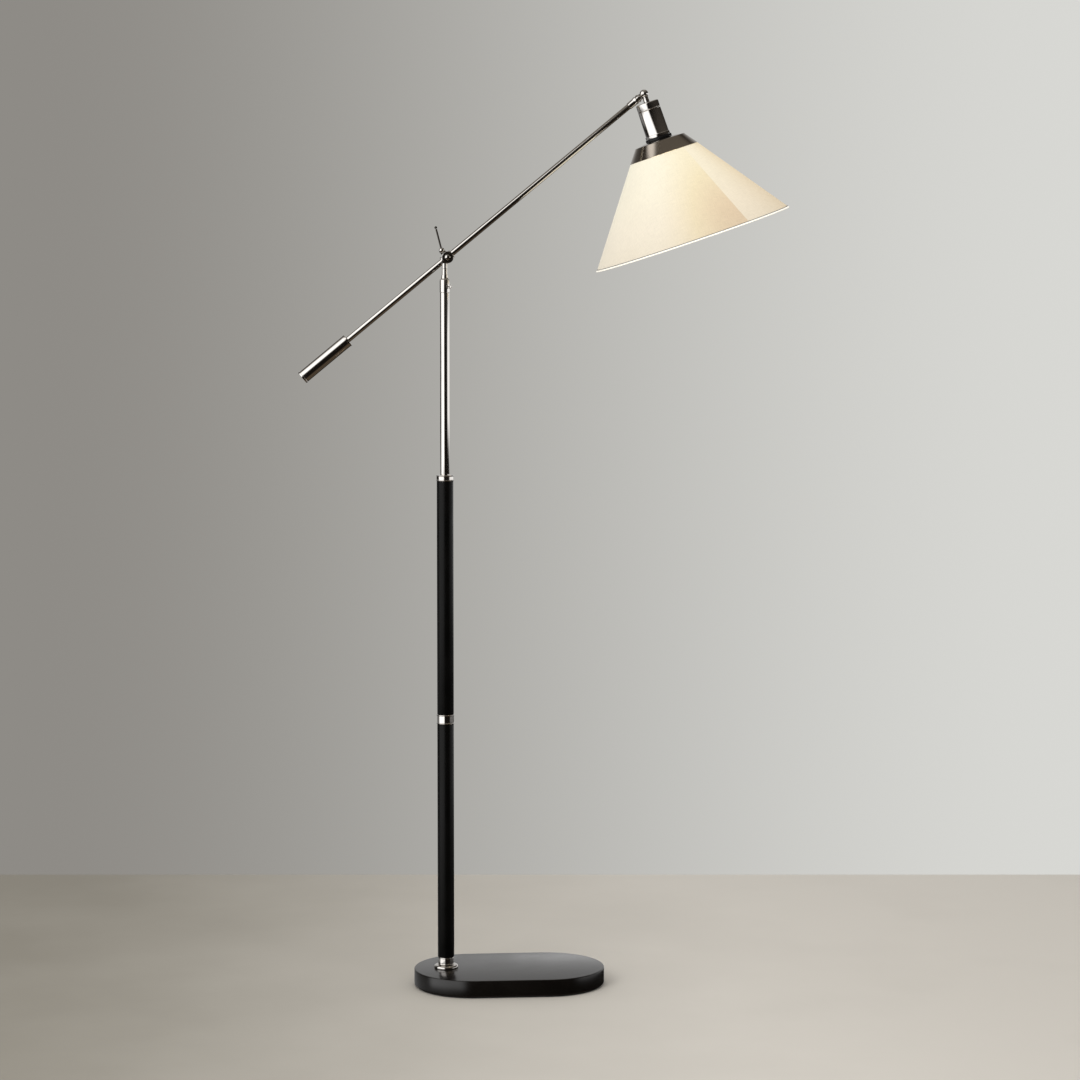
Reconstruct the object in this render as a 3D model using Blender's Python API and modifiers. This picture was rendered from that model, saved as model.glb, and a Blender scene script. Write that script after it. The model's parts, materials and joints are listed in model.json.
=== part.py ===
"""Pharmacy floor lamp: weighted base, black stem, plated mast, counterweighted swing arm, lit cone shade.

The lamp stands on the floor at z = 0 with the stem's axis on x = y = 0. The base's long axis and the
arm at rest lie along X, with the shade on the +X side. Lengths are in metres.
"""
import math

import bmesh
import bpy

# Fit between touching pieces, and how finely round pieces are faceted
GAP = 0.0003
MERGE = 0.00001
SMALL_EDGE = 0.0008
OVERLAP = 0.001
FINE, MEDIUM, COARSE = 40, 20, 12

# Base: a cast plate with round ends on a soft pad
BASE_LENGTH = 0.324
BASE_WIDTH = 0.199
BASE_HEIGHT = 0.030
BASE_EDGE = 0.0020
PAD_THICKNESS = 0.0027
PAD_INSET = 0.004
STEM_FROM_BASE_END = 0.054
RECESS_DIAMETER = 0.040
RECESS_DEPTH = 0.018
CHANNEL_WIDTH = 0.012
CHANNEL_DEPTH = 0.012
CORD_WALL = 0.012
GLAND_FROM_STEM = 0.060
GLAND_DIAMETER = 0.0094
GLAND_BORE = 0.0066
GLAND_LIP_DIAMETER = 0.014
GLAND_LIP = 0.003

# Threaded nipple that holds the stem on the base
NIPPLE_DIAMETER = 0.010
NIPPLE_BORE = 0.0068
NIPPLE_LENGTH = 0.050
WASHER_DIAMETER = 0.022
WASHER_THICKNESS = 0.002
NUT_ACROSS_CORNERS = 0.0196
NUT_HEIGHT = 0.006

# Stem: two black tubes between plated collars
STEM_DIAMETER = 0.028
STEM_WALL = 0.0015
LOWER_STEM_LENGTH = 0.3991
UPPER_STEM_LENGTH = 0.3952
FLANGE_DIAMETER = STEM_DIAMETER + 0.013
FLANGE_HEIGHT = 0.0057
FLANGE_EDGE = 0.0035
FOOT_COLLAR_DIAMETER = STEM_DIAMETER - 0.0005
FOOT_COLLAR_HEIGHT = 0.0133
FOOT_COLLAR_WAIST = 0.0005
COUPLER_DIAMETER = STEM_DIAMETER + 0.0025
COUPLER_HEIGHT = 0.0162
COUPLER_WAIST = 0.0010
TOP_COLLAR_DIAMETER = STEM_DIAMETER + 0.002
TOP_COLLAR_HEIGHT = 0.010
TOP_COLLAR_WAIST = 0.0008
SPIGOT_LENGTH = 0.012
BEAD = 0.0024

# Mast: the plated tube above the stem
MAST_DIAMETER = 0.016
MAST_WALL = 0.0012
MAST_EXPOSED = 0.3067
MAST_SUNK = 0.040
MAST_BUSH_HEIGHT = 0.022
MAST_CAP_DIAMETER = MAST_DIAMETER + 0.001
MAST_CAP_BARREL = 0.021
MAST_CAP_SHOULDER = 0.009
MAST_CAP_NECK_DIAMETER = 0.0106
MAST_CAP_NECK_HEIGHT = 0.0030
MAST_CAP_EDGE = 0.0012
MAST_CAP_SPIGOT = 0.018

# Thumb screw that locks the post in the mast
THUMB_HEIGHT = 0.0098
THUMB_TURN = math.radians(-45.0)
THUMB_SHANK_DIAMETER = 0.0032
THUMB_KNOB_DIAMETER = 0.0070
THUMB_KNOB_LENGTH = 0.0045
THUMB_REACH = MAST_CAP_DIAMETER / 2 + 0.001

# Post that slides in the mast, and the swivel head that turns on it
POST_DIAMETER = 0.009
POST_BORE = 0.0044
POST_TRAVEL = 0.200
POST_BUSH_HEIGHT = 0.012
NECK_SHOWING = 0.0095
TENON_DIAMETER = POST_DIAMETER - 0.003
TENON_LENGTH = 0.0065
SWIVEL_NECK_HEIGHT = 0.0090
HUB_RISE = 0.0192
HUB_OFFSET = 0.0050
HUB_DIAMETER = 0.020
HUB_FRONT = -0.0035
HUB_BACK = 0.0015
BOLT_DIAMETER = 0.005
BOLT_HEAD_DIAMETER = 0.0092
BOLT_HEAD_HEIGHT = 0.0030
BOLT_END_FROM_ARM = 0.0012
FRICTION_WASHER_THICKNESS = 0.0008
BOSS_DIAMETER = 0.016

# Split sleeve that carries the arm beside the hub, with its clamp lever
ARM_PITCH = math.radians(39.6)
ARM_DIAMETER = 0.010
SLEEVE_WALL = 0.0025
SLEEVE_DIAMETER = ARM_DIAMETER + 2 * SLEEVE_WALL
SLEEVE_FROM_POST = 0.0005
ARM_OFFSET = POST_DIAMETER / 2 + SLEEVE_FROM_POST + SLEEVE_DIAMETER / 2
SLEEVE_LENGTH = 0.0208
EAR_WIDTH = 0.009
EAR_THICKNESS = 0.010
EAR_BEYOND_SCREW = 0.0035
SLIT = 0.001
CLAMP_RISE = SLEEVE_DIAMETER / 2 + 0.0077
CLAMP_SCREW_DIAMETER = 0.0032
CLAMP_NUT_CORNERS = 0.0076
CLAMP_NUT_HEIGHT = 0.0028
LEVER_BALL_DIAMETER = 0.0096
LEVER_BALL_FORWARD = 0.0115
LEVER_COLLAR_DIAMETER = 0.0060
LEVER_ANGLE = math.radians(-14.5)
LEVER_DIAMETER = 0.0030
LEVER_LENGTH = 0.0390
LEVER_TIP_DIAMETER = 0.0048
LEVER_SOCKET_DEPTH = 0.0025

# Arm, counterweight and the ferrule at the head end; distances run along the arm from the hub
ARM_WALL = 0.001
ARM_REACH = 0.431
FERRULE_START = 0.398
FERRULE_DIAMETER = ARM_DIAMETER + 0.0038
FERRULE_MOUTH_DIAMETER = ARM_DIAMETER + 0.0018
FERRULE_FLOOR = 0.008
FERRULE_EDGE = 0.0005
FERRULE_GROOVE = 0.0008
WEIGHT_START = 0.217
WEIGHT_LENGTH = 0.0995
WEIGHT_DIAMETER = 0.023
WEIGHT_END_WALL = 0.0055
WEIGHT_BAND = 0.0030
WEIGHT_SINK = 0.0004
WEIGHT_SCREW_DIAMETER = 0.0036
WEIGHT_SCREW_FROM_FACE = 0.012
LEAD_DIAMETER = 0.0048
ARM_LEAD_DIAMETER = 0.0036

# Knuckle: two half balls on a cross screw
BALL_DIAMETER = 0.0148
KNUCKLE_COLLAR_DIAMETER = BALL_DIAMETER - 0.0032
KNUCKLE_SHANK_DIAMETER = BALL_DIAMETER - 0.0048
KNUCKLE_TENON_DIAMETER = 0.0060
KNUCKLE_TENON_LENGTH = 0.0070
HALF_ROUND_REACH = BALL_DIAMETER / 2 + 0.0004
KNUCKLE_COLLAR_END = HALF_ROUND_REACH + 0.0027
KNUCKLE_SCREW_DIAMETER = 0.0032
KNUCKLE_HEAD_DIAMETER = 0.0064
KNUCKLE_HEAD_HEIGHT = 0.0014
HEAD_TILT = math.radians(-18.8)
NECK_DIAMETER = KNUCKLE_SHANK_DIAMETER
NECK_STUB_DIAMETER = 0.0070
NECK_STUB_LENGTH = 0.0070
NECK_BORE = 0.0040

# Socket cup; heights run down the head's axis from the knuckle
CUP_TOP = 0.0153
CUP_BOTTOM = 0.0757
CUP_LIP_HEIGHT = 0.0050
CUP_EDGE = 0.0022
CUP_WALL = 0.0012
CUP_ROOM = 0.0013
CUP_TAPER = 0.0016
CUP_LIP_PROUD = 0.0009
CUP_BEAD_FROM_TOP = 0.0125
CUP_BEAD = 0.0024
CUP_BEAD_RISE = 0.0005
CUP_NUT_CORNERS = 0.0127
CUP_NUT_HEIGHT = 0.004
SPACER_HEIGHT = 0.0043
SPACER_PROUD = 0.0012
SWITCH_FROM_TOP = 0.034
SWITCH_SHAFT_DIAMETER = 0.004
SWITCH_KNOB_DIAMETER = 0.0100
SWITCH_KNOB_LENGTH = 0.0095

# Lampholder and bulb
HOLDER_WALL = 0.0029
HOLDER_TOP = 0.030
HOLDER_BOTTOM = 0.092
HOLDER_FLOOR = 0.004
HOLDER_WIRE_HOLE = 0.008
CONTACT_BLOCK_HEIGHT = 0.007
CONTACT_HOLE_DIAMETER = 0.006
CONTACT_HEIGHT = 0.0014
SCREW_SHELL_WALL = 0.0006
SCREW_SHELL_LENGTH = 0.040
BULB_CLEARANCE = 0.0006
BULB_CAP_DIAMETER = 0.0258
BULB_CAP_LENGTH = 0.026
BULB_CAP_WALL = 0.0008
BULB_TIP_DIAMETER = 0.0092
BULB_TIP_HEIGHT = 0.0030
BULB_CAP_FROM_TOP = 0.052
BULB_DIAMETER = 0.060
BULB_NECK_DIAMETER = BULB_CAP_DIAMETER + 0.0004
BULB_GLASS_LENGTH = 0.076
BULB_WALL = 0.0011

# Metal cap and fabric cone
CAP_TOP_DIAMETER = 0.088
CAP_CROWN_DROP = 0.0027
CAP_HEIGHT = 0.0221
CAP_WALL = 0.001
CAP_FLAT_MARGIN = 0.0013
CAP_EDGE = 0.0012
SPIDER_THICKNESS = 0.002
SPIDER_HUB_MARGIN = 0.0062
SPIDER_ARMS = 3
SPIDER_WIRE_DIAMETER = 0.0024
SPIDER_KNEE_INSET = 0.0045
SPIDER_TURN = math.radians(17.0)
RING_NUT_HEIGHT = 0.006
RING_NUT_MARGIN = 0.0047
SHADE_TOP_DIAMETER = 0.120
SHADE_BOTTOM_DIAMETER = 0.344
SHADE_HEIGHT = 0.153
SHADE_WALL = 0.001
RIM_HEIGHT = 0.0035
RIM_PROUD = 0.0004
TOP_WIRE_DIAMETER = 0.0026
BOTTOM_WIRE_DIAMETER = 0.0030
TOP_WIRE_DROP = 0.0026
BOTTOM_WIRE_RISE = 0.0030

# Heights up the stem
PLATE_BOTTOM = PAD_THICKNESS + GAP
FLANGE_LOW = BASE_HEIGHT + GAP
FOOT_LOW = FLANGE_LOW + FLANGE_HEIGHT + GAP
LOWER_STEM_LOW = FOOT_LOW + FOOT_COLLAR_HEIGHT + GAP
COUPLER_LOW = LOWER_STEM_LOW + LOWER_STEM_LENGTH + GAP
UPPER_STEM_LOW = COUPLER_LOW + COUPLER_HEIGHT + GAP
TOP_COLLAR_LOW = UPPER_STEM_LOW + UPPER_STEM_LENGTH + GAP
TOP_COLLAR_HIGH = TOP_COLLAR_LOW + TOP_COLLAR_HEIGHT
MAST_LOW = TOP_COLLAR_LOW - MAST_SUNK
MAST_CAP_LOW = TOP_COLLAR_HIGH + MAST_EXPOSED
MAST_CAP_HIGH = MAST_CAP_LOW + MAST_CAP_BARREL + MAST_CAP_SHOULDER
POST_HIGH = MAST_CAP_HIGH + NECK_SHOWING
POST_LOW = MAST_CAP_LOW - MAST_CAP_SPIGOT - POST_TRAVEL - POST_BUSH_HEIGHT - 4 * GAP

# Radii that several pieces share
STEM_BORE = STEM_DIAMETER / 2 - STEM_WALL
SPIGOT_RADIUS = STEM_BORE - GAP * 2
ROD_HOLE = NIPPLE_DIAMETER / 2 + GAP
MAST_BORE = MAST_DIAMETER / 2 - MAST_WALL
POST_RADIUS = POST_DIAMETER / 2
ARM_RADIUS = ARM_DIAMETER / 2
ARM_HOLE = ARM_RADIUS + GAP
HOLDER_BORE = BULB_CAP_DIAMETER / 2 + BULB_CLEARANCE + SCREW_SHELL_WALL + GAP
HOLDER_RADIUS = HOLDER_BORE + HOLDER_WALL
HOLDER_HOLE = HOLDER_RADIUS + GAP
CUP_TOP_RADIUS = HOLDER_RADIUS + CUP_ROOM + CUP_WALL
CUP_BOTTOM_RADIUS = CUP_TOP_RADIUS + CUP_TAPER / 2
CUP_LIP_RADIUS = CUP_BOTTOM_RADIUS + CUP_LIP_PROUD
SPACER_RADIUS = CUP_LIP_RADIUS + SPACER_PROUD
CAP_FLAT_RADIUS = SPACER_RADIUS + CAP_FLAT_MARGIN

# Heights down the head, as negative z in the head's frame
CAP_TOP = -(CUP_BOTTOM + SPACER_HEIGHT + 2 * GAP)
CAP_BOTTOM = CAP_TOP - CAP_CROWN_DROP - CAP_HEIGHT
SHADE_TOP = CAP_BOTTOM - GAP
SHADE_BOTTOM = CAP_BOTTOM - SHADE_HEIGHT
SHADE_FLARE = (SHADE_BOTTOM_DIAMETER - SHADE_TOP_DIAMETER) / 2 / SHADE_HEIGHT
SHADE_SLANT = math.sqrt(1 + SHADE_FLARE ** 2)

MATERIALS = {
    "black_base": ((0.010, 0.010, 0.011), 0.34, 0.0),
    "black_stem": ((0.013, 0.012, 0.012), 0.42, 0.0),
    "nickel": ((0.62, 0.59, 0.55), 0.16, 1.0),
    "nickel_brushed": ((0.42, 0.39, 0.36), 0.32, 1.0),
    "steel": ((0.45, 0.45, 0.45), 0.35, 1.0),
    "brass": ((0.66, 0.46, 0.17), 0.30, 1.0),
    "black_plastic": ((0.012, 0.012, 0.012), 0.45, 0.0),
    "pad": ((0.035, 0.035, 0.036), 0.90, 0.0),
    "ceramic": ((0.75, 0.73, 0.68), 0.30, 0.0),
    "fabric": ((0.86, 0.80, 0.66), 0.85, 0.0),
    "rim_tape": ((0.88, 0.85, 0.78), 0.80, 0.0),
    "white_wire": ((0.75, 0.74, 0.71), 0.40, 0.0),
    "opal_glass": ((0.90, 0.88, 0.82), 0.20, 0.0),
    "lead": ((0.55, 0.52, 0.46), 0.50, 0.0),
}


def clear_scene():
    """Empty the scene of objects and leave two named collections."""
    for item in list(bpy.data.objects):
        bpy.data.objects.remove(item, do_unlink=True)
    for name in ("pharmacy_floor_lamp", "cutters"):
        bpy.context.scene.collection.children.link(bpy.data.collections.new(name))


def finish(name):
    """Return the named Principled material, made once."""
    material = bpy.data.materials.get(name)
    if material is None:
        colour, roughness, metallic = MATERIALS[name]
        material = bpy.data.materials.new(name)
        material.use_nodes = True
        shader = material.node_tree.nodes["Principled BSDF"]
        shader.inputs["Base Color"].default_value = (*colour, 1.0)
        shader.inputs["Roughness"].default_value = roughness
        shader.inputs["Metallic"].default_value = metallic
    return material


def add_object(name, mesh, look, parent=None, at=(0, 0, 0), turn=(0, 0, 0)):
    """Link a mesh as an object; a look of None makes it a cutter."""
    mesh.shade_smooth()
    item = bpy.data.objects.new(name, mesh)
    if look is None:
        bpy.data.collections["cutters"].objects.link(item)
        item.hide_render = True
        item.display_type = "WIRE"
    else:
        bpy.data.collections["pharmacy_floor_lamp"].objects.link(item)
        mesh.materials.append(finish(look))
    item.parent = parent
    item.location = at
    item.rotation_euler = turn
    return item


def add_frame(name, parent, at, turn=(0, 0, 0)):
    """Add an empty that carries the pieces of one moving group."""
    frame = bpy.data.objects.new(name, None)
    bpy.data.collections["pharmacy_floor_lamp"].objects.link(frame)
    frame.parent = parent
    frame.location = at
    frame.rotation_euler = turn
    return frame


def turned(name, outline, look, steps=MEDIUM, **place):
    """Spin (radius, height) points about local Z, given down the outer side.

    An outline whose ends lie on the axis is a solid; any other is closed into a ring.
    """
    solid = outline[0][0] == 0 and outline[-1][0] == 0
    edges = [(i, i + 1) for i in range(len(outline) - 1)]
    if not solid:
        edges.append((len(outline) - 1, 0))
    mesh = bpy.data.meshes.new(name)
    mesh.from_pydata([(radius, 0, height) for radius, height in outline], edges, [])
    item = add_object(name, mesh, look, **place)
    screw = item.modifiers.new("turn", "SCREW")
    screw.steps = steps
    screw.render_steps = steps
    screw.use_merge_vertices = True
    screw.merge_threshold = MERGE
    screw.use_smooth_shade = True
    return item


def pipe(name, outer, inner, high, low, look, steps=MEDIUM, **place):
    """Turn a plain tube or washer."""
    outline = [(outer, high), (outer, low), (inner, low), (inner, high)]
    return turned(name, outline, look, steps, **place)


def rounded(radius, high, corner, points=2):
    """Outline an outer top edge as a quarter round, or as a chamfer when it has two points."""
    angles = [math.pi / 2 * (1 - step / (points - 1)) for step in range(points)]
    return [(radius - corner + corner * math.cos(angle), high - corner + corner * math.sin(angle))
            for angle in angles]


def rod(name, radius, high, low, look, steps=MEDIUM, **place):
    """Make a plain cylinder, or a prism when steps is small, along local Z."""
    shape = bmesh.new()
    bmesh.ops.create_cone(shape, cap_ends=True, segments=steps, radius1=radius, radius2=radius,
                          depth=high - low)
    bmesh.ops.translate(shape, verts=shape.verts, vec=(0, 0, (high + low) / 2))
    return from_bmesh(name, shape, look, **place)


def ball(name, radius, look, steps=MEDIUM, **place):
    """Make a sphere about the local origin."""
    shape = bmesh.new()
    bmesh.ops.create_uvsphere(shape, u_segments=steps, v_segments=steps // 2, radius=radius)
    return from_bmesh(name, shape, look, **place)


def block(name, low, high, look, **place):
    """Make a box between two corners."""
    shape = bmesh.new()
    bmesh.ops.create_cube(shape, size=1.0)
    size = [b - a for a, b in zip(low, high)]
    middle = [(a + b) / 2 for a, b in zip(low, high)]
    bmesh.ops.scale(shape, verts=shape.verts, vec=size)
    bmesh.ops.translate(shape, verts=shape.verts, vec=middle)
    return from_bmesh(name, shape, look, **place)


def from_bmesh(name, shape, look, **place):
    """Turn a bmesh into a linked object."""
    mesh = bpy.data.meshes.new(name)
    shape.to_mesh(mesh)
    shape.free()
    return add_object(name, mesh, look, **place)


def as_mesh(curve_object, name, look, **place):
    """Replace a curve object by a welded mesh object."""
    bpy.context.view_layer.update()
    graph = bpy.context.evaluated_depsgraph_get()
    mesh = bpy.data.meshes.new_from_object(curve_object.evaluated_get(graph))
    bpy.data.objects.remove(curve_object, do_unlink=True)
    shape = bmesh.new()
    shape.from_mesh(mesh)
    bpy.data.meshes.remove(mesh)
    bmesh.ops.remove_doubles(shape, verts=shape.verts, dist=MERGE)
    return from_bmesh(name, shape, look, **place)


def curve_through(name, points, dimensions="3D", cyclic=False):
    """Make a curve object with one straight-segment spline."""
    data = bpy.data.curves.new(name, "CURVE")
    data.dimensions = dimensions
    spline = data.splines.new("POLY")
    spline.points.add(len(points) - 1)
    for target, point in zip(spline.points, points):
        target.co = (*point, 1.0)
    spline.use_cyclic_u = cyclic
    item = bpy.data.objects.new(name, data)
    bpy.context.scene.collection.objects.link(item)
    return item


def wire(name, points, radius, look, **place):
    """Make a round wire or lead through the points."""
    path = curve_through(name + "_path", points)
    path.data.bevel_depth = radius
    path.data.bevel_resolution = 2
    path.data.use_fill_caps = True
    return as_mesh(path, name, look, **place)


def prism(name, points, high, low, look, at=(0, 0, 0), **place):
    """Extrude a flat outline between two heights."""
    path = curve_through(name + "_outline", [(x, y, 0) for x, y in points], "2D", cyclic=True)
    path.data.fill_mode = "BOTH"
    path.data.extrude = (high - low) / 2
    x, y, z = at
    return as_mesh(path, name, look, at=(x, y, z + (high + low) / 2), **place)


def stadium(length, width):
    """Outline a plate with half-round ends, centred on the origin."""
    radius = width / 2
    straight = length / 2 - radius
    half_turn = [math.pi * step / FINE * 2 - math.pi / 2 for step in range(FINE // 2 + 1)]
    points = []
    for side, start in ((1, 0.0), (-1, math.pi)):
        for angle in half_turn:
            x = side * straight + radius * math.cos(angle + start)
            points.append((x, radius * math.sin(angle + start)))
    return points


def boolean(item, other, operation):
    """Cut another shape from an item, or join it on."""
    modifier = item.modifiers.new(other.name, "BOOLEAN")
    modifier.operation = operation
    modifier.solver = "EXACT"
    modifier.object = other


def cut(item, *others):
    """Cut each of the other shapes out of the item."""
    for other in others:
        boolean(item, other, "DIFFERENCE")


def join(item, *others):
    """Join each of the other shapes onto the item."""
    for other in others:
        boolean(item, other, "UNION")


def beads(radius, high, low, bead, waist):
    """Outline the outer side of a collar: a rounded bead at each end and a slightly sunk waist."""
    rounding = [math.radians(angle) for angle in (55, 0, -55)]
    points = []
    for middle in (high - bead / 2, low + bead / 2):
        for angle in rounding:
            reach = radius - bead / 2 + bead / 2 * math.cos(angle)
            points.append((reach, middle + bead / 2 * math.sin(angle)))
    waist_radius = radius - waist
    points[3:3] = [(waist_radius, high - bead - GAP), (waist_radius, low + bead + GAP)]
    return points


def build_base():
    """The cast plate, its pad, the cord inlet and the fastening under the stem."""
    middle = BASE_LENGTH / 2 - STEM_FROM_BASE_END
    plate = prism("base_plate", stadium(BASE_LENGTH, BASE_WIDTH), BASE_HEIGHT, PLATE_BOTTOM, "black_base",
                  at=(middle, 0, 0))
    edge = plate.modifiers.new("edge", "BEVEL")
    edge.width = BASE_EDGE
    edge.segments = 2
    edge.limit_method = "ANGLE"
    recess_top = PLATE_BOTTOM + RECESS_DEPTH
    channel_top = PLATE_BOTTOM + CHANNEL_DEPTH
    below = -PAD_THICKNESS
    wall_inside = BASE_WIDTH / 2 - CORD_WALL
    half = CHANNEL_WIDTH / 2
    gland_height = channel_top - GLAND_DIAMETER / 2 - 3 * GAP
    near, far = GLAND_FROM_STEM - half, GLAND_FROM_STEM + half
    channel = [(-half, -half), (far, -half), (far, wall_inside), (near, wall_inside), (near, half),
               (-half, half)]
    along_back = (math.radians(-90), 0, 0)
    cut(plate,
        prism("cord_channel", channel, channel_top, below, None),
        rod("gland_hole", GLAND_DIAMETER / 2 + GAP, BASE_WIDTH, wall_inside - half, None, COARSE,
            at=(GLAND_FROM_STEM, 0, gland_height), turn=along_back),
        turned("stem_recess", [
            (0, BASE_HEIGHT * 2), (ROD_HOLE, BASE_HEIGHT * 2), (ROD_HOLE, recess_top),
            (RECESS_DIAMETER / 2, recess_top), (RECESS_DIAMETER / 2, below), (0, below),
        ], None))
    prism("base_pad", stadium(BASE_LENGTH - 2 * PAD_INSET, BASE_WIDTH - 2 * PAD_INSET), PAD_THICKNESS, 0,
          "pad", at=(middle, 0, 0))
    face = BASE_WIDTH / 2 + GAP
    bore = GLAND_BORE / 2
    turned("cord_gland", [
        (bore, face + GLAND_LIP), (GLAND_LIP_DIAMETER / 2 - GLAND_LIP / 3, face + GLAND_LIP),
        (GLAND_LIP_DIAMETER / 2, face + GLAND_LIP / 2), (GLAND_LIP_DIAMETER / 2, face),
        (GLAND_DIAMETER / 2, face), (GLAND_DIAMETER / 2, wall_inside - GAP), (bore, wall_inside - GAP),
    ], "black_plastic", COARSE, at=(GLAND_FROM_STEM, 0, gland_height), turn=along_back)

    washer_high = recess_top - GAP
    nut_high = washer_high - WASHER_THICKNESS - GAP
    nipple_low = nut_high - NUT_HEIGHT - GAP * 2
    pipe("stem_washer", WASHER_DIAMETER / 2, ROD_HOLE, washer_high, washer_high - WASHER_THICKNESS,
         "steel", COARSE)
    nut = rod("stem_nut", NUT_ACROSS_CORNERS / 2, nut_high, nut_high - NUT_HEIGHT, "steel", 6)
    cut(nut, rod("nut_hole", ROD_HOLE, nut_high + NUT_HEIGHT, 0, None, COARSE))
    pipe("stem_nipple", NIPPLE_DIAMETER / 2, NIPPLE_BORE / 2, nipple_low + NIPPLE_LENGTH, nipple_low,
         "steel", COARSE)
    lead_height = min(gland_height, nipple_low - LEAD_DIAMETER / 2 - 2 * GAP)
    build_stem_lead(lead_height, wall_inside)


def build_stem_lead(height, wall_inside):
    """The supply lead from the gland, through the plate's channel, up the stem and the mast."""
    bend = 0.010
    turns = [math.radians(angle) for angle in (0, 22.5, 45, 67.5, 90)]
    route = [(GLAND_FROM_STEM, wall_inside, height)]
    for angle in turns:
        route.append((GLAND_FROM_STEM - bend + bend * math.cos(angle), bend - bend * math.sin(angle), height))
    rise = NIPPLE_BORE / 2
    for angle in turns:
        route.append((rise * (1 - math.sin(angle)), 0, height + rise * (1 - math.cos(angle))))
    route.append((0, 0, POST_LOW - POST_BUSH_HEIGHT))
    wire("stem_lead", route, LEAD_DIAMETER / 2, "lead")


def build_stem():
    """Foot flange and collar, the two black tubes, the coupler and the top collar."""
    radius = FLANGE_DIAMETER / 2
    high = FLANGE_LOW + FLANGE_HEIGHT
    turned("base_flange", [
        (ROD_HOLE, high), *rounded(radius, high, FLANGE_EDGE, 4), (radius, FLANGE_LOW),
        (ROD_HOLE, FLANGE_LOW),
    ], "nickel")
    high = FOOT_LOW + FOOT_COLLAR_HEIGHT
    outer = beads(FOOT_COLLAR_DIAMETER / 2, high, FOOT_LOW, BEAD, FOOT_COLLAR_WAIST)
    turned("foot_collar", [
        (ROD_HOLE, high + SPIGOT_LENGTH), (SPIGOT_RADIUS, high + SPIGOT_LENGTH), (SPIGOT_RADIUS, high),
        *outer, (ROD_HOLE, outer[-1][1]),
    ], "nickel")
    stem_radius = STEM_DIAMETER / 2
    pipe("stem_lower", stem_radius, STEM_BORE, LOWER_STEM_LOW + LOWER_STEM_LENGTH, LOWER_STEM_LOW,
         "black_stem")
    high = COUPLER_LOW + COUPLER_HEIGHT
    turned("stem_coupler", [
        (ROD_HOLE, high + SPIGOT_LENGTH), (SPIGOT_RADIUS, high + SPIGOT_LENGTH), (SPIGOT_RADIUS, high),
        *beads(COUPLER_DIAMETER / 2, high, COUPLER_LOW, BEAD, COUPLER_WAIST),
        (SPIGOT_RADIUS, COUPLER_LOW), (SPIGOT_RADIUS, COUPLER_LOW - SPIGOT_LENGTH),
        (ROD_HOLE, COUPLER_LOW - SPIGOT_LENGTH),
    ], "nickel")
    pipe("stem_upper", stem_radius, STEM_BORE, UPPER_STEM_LOW + UPPER_STEM_LENGTH, UPPER_STEM_LOW,
         "black_stem")
    mast_hole = MAST_DIAMETER / 2 + GAP
    turned("top_collar", [
        (mast_hole, TOP_COLLAR_HIGH),
        *beads(TOP_COLLAR_DIAMETER / 2, TOP_COLLAR_HIGH, TOP_COLLAR_LOW, BEAD, TOP_COLLAR_WAIST),
        (SPIGOT_RADIUS, TOP_COLLAR_LOW), (SPIGOT_RADIUS, TOP_COLLAR_LOW - SPIGOT_LENGTH),
        (mast_hole, TOP_COLLAR_LOW - SPIGOT_LENGTH),
    ], "nickel")


def build_mast():
    """The mast with its lower centring bush and the turned cap on top."""
    mast_radius = MAST_DIAMETER / 2
    pipe("mast_tube", mast_radius, MAST_BORE, MAST_CAP_LOW - GAP, MAST_LOW, "nickel")
    bush_high = TOP_COLLAR_LOW - SPIGOT_LENGTH - GAP * 4
    pipe("mast_bush", SPIGOT_RADIUS, mast_radius + GAP, bush_high, bush_high - MAST_BUSH_HEIGHT,
         "black_plastic")
    post_hole = POST_RADIUS + GAP
    spigot = MAST_BORE - GAP
    radius = MAST_CAP_DIAMETER / 2
    barrel_high = MAST_CAP_LOW + MAST_CAP_BARREL
    neck = MAST_CAP_NECK_DIAMETER / 2
    cap = turned("mast_cap", [
        (post_hole, MAST_CAP_HIGH), (neck, MAST_CAP_HIGH),
        (neck + SMALL_EDGE, MAST_CAP_HIGH - MAST_CAP_NECK_HEIGHT),
        (radius - MAST_CAP_EDGE, barrel_high + MAST_CAP_EDGE), (radius, barrel_high), (radius, MAST_CAP_LOW),
        (spigot, MAST_CAP_LOW), (spigot, MAST_CAP_LOW - MAST_CAP_SPIGOT),
        (post_hole, MAST_CAP_LOW - MAST_CAP_SPIGOT),
    ], "nickel")
    screw_frame = add_frame("thumb_screw_axis", None, (0, 0, MAST_CAP_LOW + THUMB_HEIGHT),
                            (0, math.radians(90), THUMB_TURN))
    shank = THUMB_SHANK_DIAMETER / 2
    cut(cap, rod("thumb_hole", shank + GAP, THUMB_REACH, 0, None, COARSE, parent=screw_frame))
    knob = THUMB_KNOB_DIAMETER / 2
    far = THUMB_REACH + THUMB_KNOB_LENGTH
    turned("thumb_screw", [
        (0, far), *rounded(knob, far, SMALL_EDGE), (knob, THUMB_REACH + SMALL_EDGE),
        (knob - SMALL_EDGE, THUMB_REACH), (shank, THUMB_REACH), (shank, post_hole), (0, post_hole),
    ], "nickel", COARSE, parent=screw_frame)


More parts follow.
